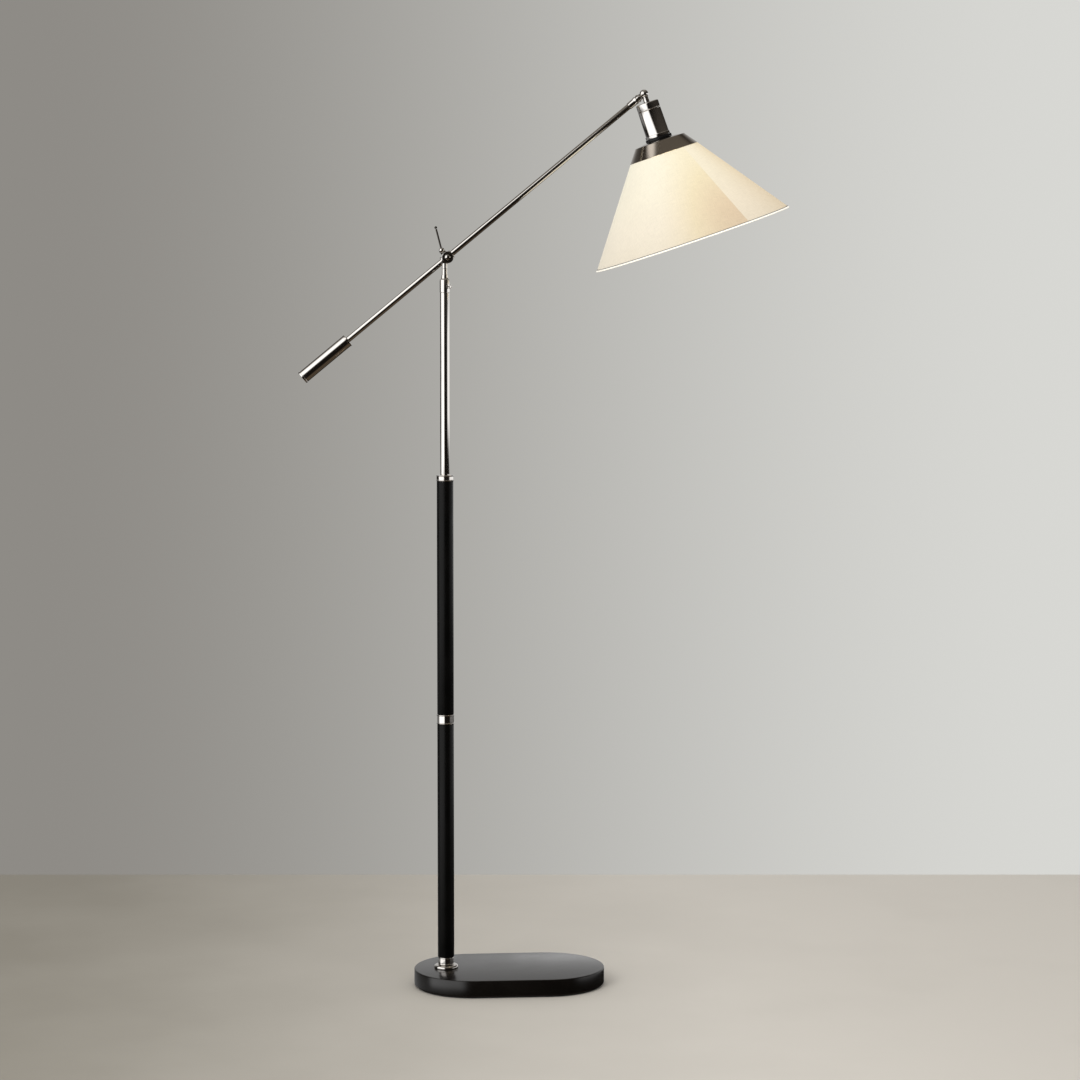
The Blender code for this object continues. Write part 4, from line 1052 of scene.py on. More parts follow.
@dataclass
class Pole:
    """Flange, collars, the two black tubes, the mast and its cap, the post and the thumb screw."""

    bead: float = 2.4 * MM
    stem_wall: float = 1.5 * MM
    mast_wall: float = 1.2 * MM
    spigot: float = 12 * MM
    flange_edge: float = 3.5 * MM
    knurls: int = 40

    def build(self) -> None:
        """Model the pole from the plate up."""
        self.flange()
        self.collar("foot_collar_turned", "foot_collar", 0.5 * MM, below=False)
        self.stem_tube("stem_tube_lower", "stem_lower")
        self.collar("coupler_turned", "stem_coupler", 1.0 * MM)
        self.stem_tube("stem_tube_upper", "stem_upper")
        self.top_collar()
        self.mast()
        self.mast_cap()
        self.post()
        self.thumb_screw()

    def flange(self) -> None:
        """Model the domed flange that covers the stem's seat."""
        span = STEM.span("base_flange")
        corner = (span.radius - self.flange_edge, span.high - self.flange_edge)
        outline = [(span.bore, span.high), *arc(self.flange_edge, 90, 0, 10, corner),
                   (span.radius, span.low + 0.6 * MM), (span.radius - FINE, span.low),
                   (span.bore, span.low)]
        deliver(turn_piece("foot_flange", outline), STEM, NICKEL, "stand", "base_flange")

    def beads(self, radius: float, high: float, low: float, waist: float) -> list[tuple[float, float]]:
        """Outline the outer face of a collar: a round bead at each end and a sunk waist between.

        Args:
            radius: Outer radius of the beads.
            high: Height of the top.
            low: Height of the foot.
            waist: How far the waist is sunk.

        Returns:
            Radius and height of each point.
        """
        half = self.bead / 2
        top = arc(half, 85, -65, 10, (radius - half, high - half))
        bottom = arc(half, 65, -85, 10, (radius - half, low + half))
        return [*top, (radius - waist, high - self.bead), (radius - waist, low + self.bead), *bottom]

    def collar(self, name: str, node: str, waist: float, below: bool = True) -> None:
        """Model a collar with a spigot into the tube above it, and perhaps one below.

        Args:
            name: The piece's name.
            node: The node that gives its size.
            waist: How far its waist is sunk.
            below: True for a spigot below it too.
        """
        span = STEM.span(node)
        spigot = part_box("stem_lower")[1].x - self.stem_wall - 0.6 * MM
        high = span.high - self.spigot
        low = span.low + (self.spigot if below else 0)
        outline = [(span.bore, span.high), (spigot, span.high), (spigot, high),
                   *self.beads(span.radius, high, low, waist)]
        if below:
            outline += [(spigot, low), (spigot, span.low)]
        outline.append((span.bore, span.low))
        deliver(turn_piece(name, outline), STEM, NICKEL, "stand", node)

    def stem_tube(self, name: str, node: str) -> None:
        """Model a black tube, its ends broken by a small bevel.

        Args:
            name: The piece's name.
            node: The node that gives its size.
        """
        deliver(turn_piece(name, tube(STEM.span(node), self.stem_wall), 96, 0.35 * MM),
                STEM, SATIN_ENAMEL, "stand", node)

    def top_collar(self) -> None:
        """Model the collar that steps from the stem down to the mast."""
        span = STEM.span("top_collar")
        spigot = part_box("stem_upper")[1].x - self.stem_wall - 0.6 * MM
        low = span.low + self.spigot
        bore = span.bore
        outline = [(bore, span.high - FINE), (bore + 0.4 * MM, span.high),
                   *self.beads(span.radius, span.high, low, 0.8 * MM),
                   (spigot, low), (spigot, span.low), (bore, span.low)]
        deliver(turn_piece("top_collar_turned", outline), STEM, NICKEL, "stand", "top_collar")

    def mast(self) -> None:
        """Model the plated mast."""
        deliver(turn_piece("mast_drawn_tube", tube(STEM.span("mast_tube"), self.mast_wall), 96, FINE),
                STEM, NICKEL_TUBE, "stand", "mast_tube")

    def mast_cap(self) -> None:
        """Model the turned cap: a barrel, a cove up to its neck, and the thumb screw's hole."""
        span = STEM.span("mast_cap")
        barrel_low = STEM.span("mast_tube").high + FINE
        neck = span.bore + 0.5 * MM
        shoulder = span.high - 9 * MM
        reach = span.radius - 1.2 * MM - neck
        start = span.high - 3 * MM
        cove = [(neck + FINE + reach * (1 - math.cos(math.radians(angle))),
                 start - (start - shoulder - 1.2 * MM) * math.sin(math.radians(angle)))
                for angle in range(0, 91, 10)]
        spigot = span.radius - 0.5 * MM - self.mast_wall - FINE
        lip = 0.4 * MM
        outline = [(span.bore, span.high), *arc(lip, 90, 0, 3, (neck - lip, span.high - lip)),
                   *cove, (span.radius - 0.5 * MM, shoulder + 0.9 * MM), (span.radius, shoulder),
                   (span.radius, barrel_low + 0.4 * MM), (span.radius - 0.4 * MM, barrel_low),
                   (spigot, barrel_low), (spigot, span.low), (span.bore, span.low)]
        item = turn_piece("mast_cap_turned", outline)
        axes = joint_axes("thumb_screw_turn")
        hole = prism_bar("hole", 32, 1.9 * MM, 0, span.radius * 2)
        spin_place(hole, axes.matrix)
        shape_with(item, "DIFFERENCE", hole)
        deliver(item, STEM, NICKEL, "stand", "mast_cap")

    def post(self) -> None:
        """Model the sliding post with its tenon."""
        span = STEM.span("post_rod")
        shoulder = joint("boom_swivel")["pos_m"][2] - FINE
        tenon = span.radius - 1.5 * MM
        outline = [(span.bore, span.high), (tenon, span.high), (tenon, shoulder), (span.radius, shoulder),
                   (span.radius, span.low), (span.bore, span.low)]
        deliver(turn_piece("sliding_post", outline, 72, 0.25 * MM), STEM, NICKEL_TUBE, "post", "post_rod")

    def thumb_screw(self) -> None:
        """Model the thumb screw with a knurled rim."""
        axes = joint_axes("thumb_screw_turn")
        span = axes.span("thumb_screw")
        knob_low = span.high - 4.5 * MM
        shank = 1.6 * MM
        outline = [(0, span.high - FINE), (span.radius * 0.55, span.high - FINE),
                   (span.radius * 0.72, span.high), (span.radius - 0.5 * MM, span.high),
                   (span.radius, span.high - 0.5 * MM), (span.radius, knob_low + 0.5 * MM),
                   (span.radius - 0.5 * MM, knob_low), (shank, knob_low), (shank, span.low + 0.4 * MM),
                   (shank - 0.4 * MM, span.low), (0, span.low)]
        item = turn_piece("thumb_screw_knurled", outline, self.knurls * 2)
        sink_lines(item, self.knurls * 2, 2, span.radius - 0.1 * MM, knob_low, 0.94)
        deliver(item, axes, NICKEL, "thumb_screw", "thumb_screw", smooth=20)


# ---------------------------------------------------------------- swing joint


@dataclass
class SwingJoint:
    """The swivel head, its bolt and washer, the split sleeve, its nut and the clamp lever."""

    ball_sides: int = 48

    def build(self) -> None:
        """Model the joint that carries the arm."""
        self.swivel()
        self.bolt()
        self.washer()
        self.sleeve()
        self.nut()
        self.lever()

    def hub_axes(self) -> Axes:
        """Axes of the tilt bolt, z towards the front."""
        low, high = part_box("friction_washer")
        return Axes.along(((low.x + high.x) / 2, 0, (low.z + high.z) / 2), (0, -1, 0), (0, 0, 1))

    def swivel(self) -> None:
        """Model the hub disc on its neck, as one casting."""
        hub = self.hub_axes()
        low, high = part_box("swivel_head")
        radius = (high.z - hub.matrix.translation.z)
        post = STEM.span("post_rod").radius
        disc = turn_piece("swivel_casting", [
            (0, 3.5 * MM), *arc(0.7 * MM, 90, 0, 4, (radius - 0.7 * MM, 2.8 * MM)),
            (radius, -0.9 * MM), (radius - 0.6 * MM, -1.5 * MM), (0, -1.5 * MM)], 72)
        spin_place(disc, hub.matrix)
        start = low.z
        neck = turn_piece("neck", [(0, start + 9 * MM), (post, start + 9 * MM), (post, start + FINE),
                                   (post - FINE, start), (0, start)], 48)
        web = brick("web", (-post, -1.2 * MM, start + 8 * MM), (post, 3.2 * MM, start + 15 * MM))
        # The web lies behind the disc's front face, between the neck and the hub
        spin_place(web, Matrix.Scale(-1, 4, (0, 1, 0)))
        shape_with(disc, "UNION", neck, web)
        tenon = prism_bar("tenon", 32, post - 1.2 * MM, start - 7 * MM, start + 6.5 * MM)
        hole = prism_bar("hole", 32, 2.8 * MM, -20 * MM, 20 * MM)
        spin_place(hole, hub.matrix)
        shape_with(disc, "DIFFERENCE", tenon, hole)
        tidy_normals(disc)
        settle(disc, Axes(Matrix.Identity(4)))
        hand_over(disc, NICKEL.dress(hub.matrix), "nickel", "swivel", "swivel_head")

    def bolt(self) -> None:
        """Model the bolt with a domed, slotted head."""
        head = SlottedHead(3 * MM, 0.6 * MM, 2.4 * MM, 1 * MM, 1.1 * MM, 0.6)
        head.screw("tilt_bolt_domed", "tilt_bolt", self.hub_axes(), 2.5 * MM, 0.4 * MM, "swivel")

    def washer(self) -> None:
        """Model the friction washer."""
        hub = self.hub_axes()
        span = hub.span("friction_washer")
        outline = [(span.bore, span.high), (span.radius, span.high), (span.radius, span.low),
                   (span.bore, span.low)]
        deliver(turn_piece("fibre_washer", outline, 64, 0.15 * MM),
                hub, PHENOLIC, "swivel", "friction_washer")

    def sleeve(self) -> None:
        """Model the split sleeve with its boss and its two clamp ears."""
        long = ARM.span("arm_tube")
        radius = 7.5 * MM
        half = 10.4 * MM
        body = turn_piece("clamp_sleeve_split", [
            (0, half), *arc(0.7 * MM, 90, 0, 3, (radius - 0.7 * MM, half - 0.7 * MM)),
            *arc(0.7 * MM, 0, -90, 3, (radius - 0.7 * MM, -half + 0.7 * MM)), (0, -half)], 72)
        hub = self.hub_axes()
        local = ARM.matrix.inverted() @ hub.matrix
        front = hub.span("friction_washer").low - FINE
        boss = turn_piece("boss", [(0, front), *arc(0.5 * MM, 90, 0, 3, (7.5 * MM, front - 0.5 * MM)),
                                   (8 * MM, -12.5 * MM), (0, -12.5 * MM)], 72)
        spin_place(boss, local)
        rise = self.clamp_rise()
        ear = brick("ear", (-rise, -5 * MM, -4.5 * MM), (0, 5 * MM, 4.5 * MM))
        tip = prism_bar("tip", 48, 4.5 * MM, -5 * MM, 5 * MM)
        spin_place(tip, Matrix.Translation((-rise, 0, 0)) @ ACROSS)
        trim = brick("trim", (-rise - 10 * MM, -8 * MM, -8 * MM), (-rise - 3.5 * MM, 8 * MM, 8 * MM))
        shape_with(body, "UNION", boss, ear, tip)
        shape_with(body, "DIFFERENCE", trim)
        bore = prism_bar("bore", 64, long.radius + FINE, -20 * MM, 20 * MM)
        slit = brick("slit", (-30 * MM, -0.5 * MM, -20 * MM), (0, 0.5 * MM, 20 * MM))
        screw = prism_bar("screw", 32, 1.9 * MM, -10 * MM, 10 * MM)
        spin_place(screw, Matrix.Translation((-rise, 0, 0)) @ ACROSS)
        seat = prism_bar("seat", 32, 2.8 * MM, hub.span("tilt_bolt").low - FINE, 20 * MM)
        spin_place(seat, local)
        shape_with(body, "DIFFERENCE", bore, slit, screw, seat)
        tidy_normals(body)
        soften(body, 0.25 * MM, 2, 50)
        deliver(body, ARM, NICKEL, "sleeve", "clamp_sleeve")

    def clamp_rise(self) -> float:
        """How far the clamp screw stands above the arm's axis."""
        point = ARM.matrix.inverted() @ Vector(joint("lever_turn")["pos_m"])
        return -point.x

    def screw_axes(self) -> Axes:
        """Axes of the clamp screw, z towards the front."""
        return ARM.turned((-self.clamp_rise(), 0, 0), (0, -1, 0), (0, 0, 1))

    def nut(self) -> None:
        """Model the clamp's hexagon nut with chamfered corners."""
        hex_nut("clamp_nut_hex", "clamp_nut", self.screw_axes(), "sleeve")

    def lever(self) -> None:
        """Model the lever: a ball on the screw, a thin rod and a ball tip."""
        pivot = joint("lever_turn")
        low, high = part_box("lever_tip")
        tip_at = (Vector(low) + Vector(high)) / 2
        axes = Axes.along(pivot["pos_m"], tip_at - Vector(pivot["pos_m"]))
        rod, tip = axes.span("lever_rod"), axes.span("lever_tip")
        radius = 4.8 * MM
        hub = turn_piece("lever_hub_ball", [(0, radius), *arc(radius, 84, -84, 28), (0, -radius)],
                         self.ball_sides)
        back = axes.matrix.inverted() @ Axes.along(pivot["pos_m"], (0, 1, 0), (0, 0, 1)).matrix
        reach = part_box("lever_hub")
        end = reach[1].y - pivot["pos_m"][1]
        ears = ARM.matrix.translation.y - 5 * MM - FINE - pivot["pos_m"][1]
        stalk = turn_piece("stalk", [(0, 0), (3 * MM, 0), (3 * MM, ears - FINE), (2.7 * MM, ears),
                                     (1.6 * MM, ears), (1.6 * MM, end - FINE), (1.3 * MM, end),
                                     (0, end)], 40)
        spin_place(stalk, back)
        shape_with(hub, "UNION", stalk)
        hole = prism_bar("hole", 32, rod.radius + FINE, rod.low - FINE, 20 * MM)
        shape_with(hub, "DIFFERENCE", hole)
        tidy_normals(hub)
        deliver(hub, axes, NICKEL, "lever", "lever_hub")
        break_edge = 0.2 * MM
        bar = turn_piece("lever_rod_drawn", [
            (0, rod.high), (rod.radius - break_edge, rod.high), (rod.radius, rod.high - break_edge),
            (rod.radius, rod.low), (0, rod.low)], 32)
        deliver(bar, axes, NICKEL_BLACK, "lever", "lever_rod")
        middle = (tip.low + tip.high) / 2
        size = tip.radius
        at = (0, tip.high - size)
        socket = rod.radius + FINE
        end_angle = -math.degrees(math.acos(socket / size))
        knob = turn_piece("lever_tip_ball", [(0, at[1] + size), *arc(size, 84, end_angle, 20, at),
                                             (socket, middle), (0, middle)], 40)
        deliver(knob, axes, NICKEL_BLACK, "lever", "lever_tip")


@dataclass(frozen=True)
class SlottedHead:
    """A screw's domed head: its depth, rim and crown, and its slot's width, depth and turn in radians."""

    depth: float
    rim: float
    crown: float
    slot_width: float
    slot_depth: float
    slot_turn: float

    def screw(self, name: str, node: str, axes: Axes, shank: float, point: float, body: str) -> None:
        """Model a screw with this head over a node.

        Args:
            name: The piece's name.
            node: The node that gives its size.
            axes: The screw's axes, z out of its head.
            shank: The shank's radius.
            point: The bevel on the shank's end.
            body: The body that carries it.
        """
        span = axes.span(node)
        seat = span.high - self.depth
        dome = oval(span.radius, self.crown, range(15, 91, 15), (0, seat + self.rim))
        item = turn_piece(name, [
            (0, span.high), *dome, (span.radius, seat), (shank, seat), (shank, span.low + point),
            (shank - point, span.low), (0, span.low)], 48)
        slot = brick("slot", (-10 * MM, -self.slot_width / 2, span.high - self.slot_depth),
                     (10 * MM, self.slot_width / 2, span.high + 1 * MM))
        shape_with(item, "DIFFERENCE", spin_place(slot, Matrix.Rotation(self.slot_turn, 4, "Z")))
        deliver(item, axes, NICKEL, body, node)


def hex_nut(name: str, node: str, axes: Axes, body: str) -> None:
    """Model a hexagon nut over a node, its corners cut back to a cone.

    Args:
        name: The piece's name.
        node: The node that gives its size.
        axes: The nut's axes.
        body: The body that carries it.
    """
    span = axes.span(node)
    item = prism_bar(name, 6, span.radius, span.low, span.high)
    corner = span.radius * 0.12
    cone = turn_piece("cone", [
        (0, span.high + corner / 10), (span.radius - corner, span.high + corner / 10),
        (span.radius + corner, span.high - corner), (span.radius + corner, span.low + corner),
        (span.radius - corner, span.low - corner / 10), (0, span.low - corner / 10)], 72)
    shape_with(item, "INTERSECT", cone)
    hole = prism_bar("hole", 48, span.bore, span.low - 2 * MM, span.high + 2 * MM)
    shape_with(item, "DIFFERENCE", hole)
    tidy_normals(item)
    deliver(item, axes, NICKEL, body, node)


# ---------------------------------------------------------------- arm


@dataclass
class Arm:
    """The arm's tube, the counterweight with its grub screw, and the ferrule at the head end."""

    wall: float = 1 * MM
    band: float = 3 * MM
    sink: float = 0.35 * MM

    def build(self) -> None:
        """Model the arm from the weight to the ferrule."""
        self.tube()
        self.weight()
        self.grub_screw()
        self.ferrule()

    def tube(self) -> None:
        """Model the plated arm."""
        deliver(turn_piece("arm_drawn_tube", tube(ARM.span("arm_tube"), self.wall), 72, 0.2 * MM),
                ARM, NICKEL_TUBE, "arm", "arm_tube")

    def weight(self) -> None:
        """Model the turned counterweight, with a fine step at each end."""
        span = ARM.span("counterweight")
        hole = ARM.span("arm_tube").radius + FINE
        radius = span.radius
        waist = radius - self.sink
        floor = ARM.span("arm_tube").low - FINE
        near, far = span.high, span.low
        outline = [(hole, near - FINE), (hole + FINE, near),
                   *arc(0.8 * MM, 90, 0, 5, (radius - 0.8 * MM, near - 0.8 * MM)),
                   (radius, near - self.band), (waist, near - self.band - self.sink),
                   (waist, far + self.band + self.sink), (radius, far + self.band),
                   *arc(0.8 * MM, 0, -90, 5, (radius - 0.8 * MM, far + 0.8 * MM)),
                   (radius * 0.25, far), (0, far + 0.2 * MM)]
        outline = [(0, floor), (hole, floor)] + outline
        item = turn_piece("counterweight_turned", outline, 96)
        grub = self.grub_axes()
        cutter = prism_bar("cutter", 32, 2.1 * MM, 0, 20 * MM)
        spin_place(cutter, ARM.matrix.inverted() @ grub.matrix)
        shape_with(item, "DIFFERENCE", cutter)
        deliver(item, ARM, NICKEL, "arm", "counterweight")

    def grub_axes(self) -> Axes:
        """Axes of the grub screw, z out of the weight."""
        low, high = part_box("counterweight_screw")
        middle = ARM.matrix.inverted() @ ((Vector(low) + Vector(high)) / 2)
        return ARM.turned((0, 0, middle.z), (1, 0, 0), (0, 1, 0))

    def grub_screw(self) -> None:
        """Model the socket-head grub screw."""
        axes = self.grub_axes()
        span = axes.span("counterweight_screw")
        item = turn_piece("grub_screw", [(0, span.high), (span.radius - 0.2 * MM, span.high),
                                         (span.radius, span.high - 0.2 * MM), (span.radius, span.low),
                                         (0, span.low)], 40)
        key = prism_bar("key", 6, 1 * MM, span.high - 2 * MM, span.high + 2 * MM)
        shape_with(item, "DIFFERENCE", key)
        deliver(item, axes, ZINC_STEEL, "arm", "counterweight_screw")

    def ferrule(self) -> None:
        """Model the flared ferrule with its groove and bead."""
        span = ARM.span("arm_ferrule")
        radius = span.radius
        hole = ARM.span("arm_tube").radius + FINE
        floor = ARM.span("arm_tube").high + FINE
        step = span.length / 8
        high = span.high
        mouth = radius - 1.0 * MM
        flare = [(mouth + (radius - 0.5 * MM - mouth) * (share / 8) ** 1.6,
                  span.low + (high - 3.4 * step - span.low) * share / 8) for share in range(9)]
        outline = [(span.bore, high), *arc(0.6 * MM, 90, 0, 4, (radius - 0.6 * MM, high - 0.6 * MM)),
                   (radius, high - step), (radius - 0.8 * MM, high - step * 1.35),
                   (radius - 0.8 * MM, high - step * 1.95), (radius, high - step * 2.3),
                   (radius, high - step * 3), *reversed(flare),
                   (hole, span.low), (hole, floor), (span.bore, floor)]
        deliver(turn_piece("arm_ferrule_turned", outline, 72), ARM, NICKEL, "arm", "arm_ferrule")


# ---------------------------------------------------------------- knuckle


@dataclass
class Knuckle:
    """Two half balls on a cross screw, the first with its tenon and the second with the head's neck."""

    ball: float = 7.4 * MM
    split: float = 0.15 * MM
    reach: float = 8.1 * MM

    def build(self) -> None:
        """Model both halves, the screw and its nut."""
        self.inner()
        self.neck()
        self.screw()
        hex_nut("cross_nut_hex", "knuckle_nut", self.cross_axes(), "knuckle")

    def cross_axes(self) -> Axes:
        """Axes of the cross screw, z towards the front."""
        return Axes.along(KNUCKLE.matrix.translation, (0, -1, 0), (0, 0, 1))

    def half(self, name: str, stalk: Outline, behind: bool) -> bpy.types.Object:
        """Model a drilled half ball with a half-round shank and a round stalk below it.

        Args:
            name: The piece's name.
            stalk: Outline of the round part below the half-round one.
            behind: True for the half on the +y side.

        Returns:
            The half, about its own z.
        """
        item = turn_piece(name, [(0, self.ball), *arc(self.ball, 84, -84, 28), (0, -self.ball)], 56)
        shank = prism_bar("shank", 56, 5 * MM, -self.reach, 0)
        shape_with(item, "UNION", shank)
        size = 20 * MM
        side = (-size, self.split) if behind else (-self.split, size)
        other = brick("other_half", (-size, side[0], -size), (size, side[1], size))
        hole = prism_bar("hole", 32, 1.9 * MM, -size, size)
        spin_place(hole, ACROSS)
        shape_with(item, "DIFFERENCE", other, hole)
        below = turn_piece("stalk", stalk, 56)
        shape_with(item, "UNION", below)
        tidy_normals(item)
        return item

    def inner(self) -> None:
        """Model the half that turns in the ferrule."""
        span = KNUCKLE.span("knuckle_inner")
        end = ARM.span("arm_ferrule").high - (KNUCKLE.matrix.translation - ARM.matrix.translation).length
        near = -self.reach + FINE
        tenon = ARM.span("arm_ferrule").bore - FINE
        outline = [(0, near), *arc(1.6 * MM, 90, 0, 4, (4.2 * MM, near - 1.6 * MM)),
                   (5.8 * MM, end + FINE), (tenon, end + FINE),
                   (tenon, span.low + FINE), (tenon - FINE, span.low), (0, span.low)]
        item = self.half("knuckle_half_ball", outline, True)
        deliver(item, KNUCKLE, NICKEL, "knuckle", "knuckle_inner")

    def neck(self) -> None:
        """Model the half that carries the head, with its stub into the cup."""
        span = HEAD.span("head_neck")
        cup = HEAD.span("socket_cup").high + FINE
        stub = HEAD.span("socket_cup").bore - FINE
        near = -self.reach + FINE
        outline = [(0, near), *arc(1 * MM, 90, 0, 3, (4 * MM, near - 1 * MM)),
                   (5 * MM, cup + FINE), (4.7 * MM, cup), (stub, cup),
                   (stub, span.low), (2 * MM, span.low), (2 * MM, near - 2 * MM), (0, near - 2 * MM)]
        item = self.half("head_half_ball", outline, False)
        deliver(item, HEAD, NICKEL, "head", "head_neck")

    def screw(self) -> None:
        """Model the cross screw with a domed, slotted head."""
        head = SlottedHead(1.4 * MM, FINE, 1.1 * MM, 0.8 * MM, 0.8 * MM, 0.9)
        head.screw("cross_screw", "knuckle_screw", self.cross_axes(), 1.6 * MM, FINE, "knuckle")


# ---------------------------------------------------------------- head


@dataclass
class Head:
    """The socket cup, spacer ring, switch knob, lampholder and bulb."""

    wall: float = 1.2 * MM
    edge: float = 2.2 * MM
    bead_drop: float = 12.5 * MM
    lip: float = 5.0 * MM
    flutes: int = 18

    def build(self) -> None:
        """Model the parts stacked down the head's axis."""
        self.cup()
        self.spacer()
        self.knob()
        self.holder()
        self.shell()
        self.bulb()

    def cup(self) -> None:
        """Model the cup: rounded shoulder, thin bead line, slightly tapered wall and a bright lip."""
        span = HEAD.span("socket_cup")
        lip, bore = span.radius, span.bore
        bottom = lip - 0.9 * MM
        top = bottom - 0.8 * MM
        bead = span.high - self.bead_drop
        lip_top = span.low + self.lip
        ceiling = span.high - self.wall
        crest = 0.7 * MM
        outline = [(bore, span.high), *arc(self.edge, 90, 0, 10, (top - self.edge, span.high - self.edge)),
                   (top, bead + 1.3 * MM), (top - FINE, bead + 1.0 * MM),
                   *arc(crest, 75, -75, 10, (top - FINE, bead)),
                   (top - FINE, bead - 1.0 * MM), (top, bead - 1.3 * MM),
                   (bottom, lip_top + 0.5 * MM),
                   *arc(0.8 * MM, 80, 0, 5, (lip - 0.8 * MM, lip_top - 0.8 * MM)),
                   (lip, span.low + 0.4 * MM), (lip - 0.4 * MM, span.low),
                   (bottom - self.wall, span.low), (top - self.wall, ceiling - self.edge),
                   (top - self.wall - self.edge, ceiling), (bore, ceiling)]
        item = turn_piece("socket_cup_spun", outline, 128)
        axes = joint_axes("switch_turn")
        hole = prism_bar("hole", 32, 2.3 * MM, lip * 0.5, lip * 2)
        spin_place(hole, HEAD.matrix.inverted() @ axes.matrix)
        shape_with(item, "DIFFERENCE", hole)
        deliver(item, HEAD, NICKEL, "head", "socket_cup")

    def spacer(self) -> None:
        """Model the black ring between the cup and the shade's cap."""
        span = HEAD.span("spacer_ring")
        radius = span.radius
        edge = 0.9 * MM
        outline = [(span.bore, span.high), *arc(edge, 90, 0, 5, (radius - edge, span.high - edge)),
                   (radius, span.low + FINE), (radius - FINE, span.low), (span.bore, span.low)]
        deliver(turn_piece("spacer_ring_moulded", outline, 96), HEAD, PHENOLIC, "head", "spacer_ring")

    def knob(self) -> None:
        """Model the switch knob with a fluted skirt."""
        axes = joint_axes("switch_turn")
        span = axes.span("switch_knob")
        seat = span.high - 9.5 * MM
        shaft = 2 * MM
        radius = span.radius
        outline = [(0, span.high - 0.2 * MM), (radius * 0.6, span.high),
                   *arc(0.8 * MM, 90, 0, 4, (radius * 0.84 - 0.8 * MM, span.high - 0.8 * MM)),
                   (radius, seat + 1.6 * MM), (radius, seat + FINE), (radius - FINE, seat), (shaft, seat),
                   (shaft, span.low), (0, span.low)]
        item = turn_piece("switch_knob_fluted", outline, self.flutes * 4)
        sink_lines(item, self.flutes * 4, 4, radius * 0.7, seat + 1.2 * MM, 0.9)
        deliver(item, axes, PHENOLIC, "switch", "switch_knob", smooth=40)

    def holder(self) -> None:
        """Model the lampholder's body with the thread that takes the ring nut, and that nut."""
        span = HEAD.span("lampholder_body")
        radius = span.radius
        bore = HEAD.span("screw_shell").radius + FINE
        nut = HEAD.span("ring_nut")
        turns = 5
        pitch = (nut.high - span.low) / turns / 1.6
        thread = []
        for number in range(turns):
            high = span.low + (turns - number) * pitch
            thread += [(radius, high), (radius - 0.4 * MM, high - pitch / 2)]
        outline = [(span.bore, span.high), *arc(2 * MM, 90, 0, 5, (radius - 2 * MM, span.high - 2 * MM)),
                   *thread, (radius, span.low + 0.2 * MM), (radius - FINE, span.low), (bore, span.low),
                   (bore, span.high - 4 * MM), (span.bore, span.high - 4 * MM)]
        deliver(turn_piece("lampholder_moulded", outline, 96), HEAD, PHENOLIC, "head", "lampholder_body")
        sides = 96
        ring = turn_piece("ring_nut_moulded", [
            (nut.bore, nut.high), (nut.radius, nut.high), (nut.radius, nut.low),
            (nut.bore, nut.low)], sides)
        sink_lines(ring, sides, 4, nut.radius - 0.1 * MM, -math.inf, 0.965)
        soften(ring, 0.25 * MM, 2, 50)
        deliver(ring, HEAD, PHENOLIC, "head", "ring_nut")

    def shell(self) -> None:
        """Model the brass screw shell with its rolled thread."""
        span = HEAD.span("screw_shell")
        outer, wall = span.radius, 0.6 * MM
        turns = 6
        pitch = 3.6 * MM
        wave = []
        for step in range(turns * 8 + 1):
            height = span.high - wall - 2 * MM - step * pitch / 8
            if height < span.low + 0.5 * MM:
                break
            wave.append((outer - 0.25 * MM + 0.25 * MM * math.cos(step * math.tau / 8), height))
        outline = [(span.bore, span.high), (outer, span.high), *wave, (outer, span.low),
                   (outer - wall, span.low),
                   *[(radius - wall, height) for radius, height in reversed(wave)],
                   (outer - wall, span.high - wall), (span.bore, span.high - wall)]
        deliver(turn_piece("screw_shell_rolled", outline, 64), HEAD, BRASS, "head", "screw_shell")

    def bulb(self) -> None:
        """Model the bulb's frosted glass as one smooth pear."""
        span = HEAD.span("bulb_glass")
        globe = span.radius
        neck = 13.1 * MM
        centre = span.low + globe
        join = arc(globe, 32, -86, 30, (0, centre))
        foot = HEAD.span("lampholder_body").low
        flare = [(neck + (join[0][0] - neck) * (share / 8) ** 1.4, foot + (join[0][1] - foot) * share / 8)
                 for share in range(8)]
        side = [(neck, span.high), *flare, *join, (0, span.low)]
        wall = 1.1 * MM
        inner = [(max(radius - wall, 0.4 * MM) if radius else 0.0,
                  height + (wall if height < centre else 0)) for radius, height in side]
        deliver(turn_piece("bulb_glass_frosted", list(reversed(inner)) + side, 72),
                HEAD, FrostedGlass(), "head", "bulb_glass", smooth=60)


# ---------------------------------------------------------------- shade


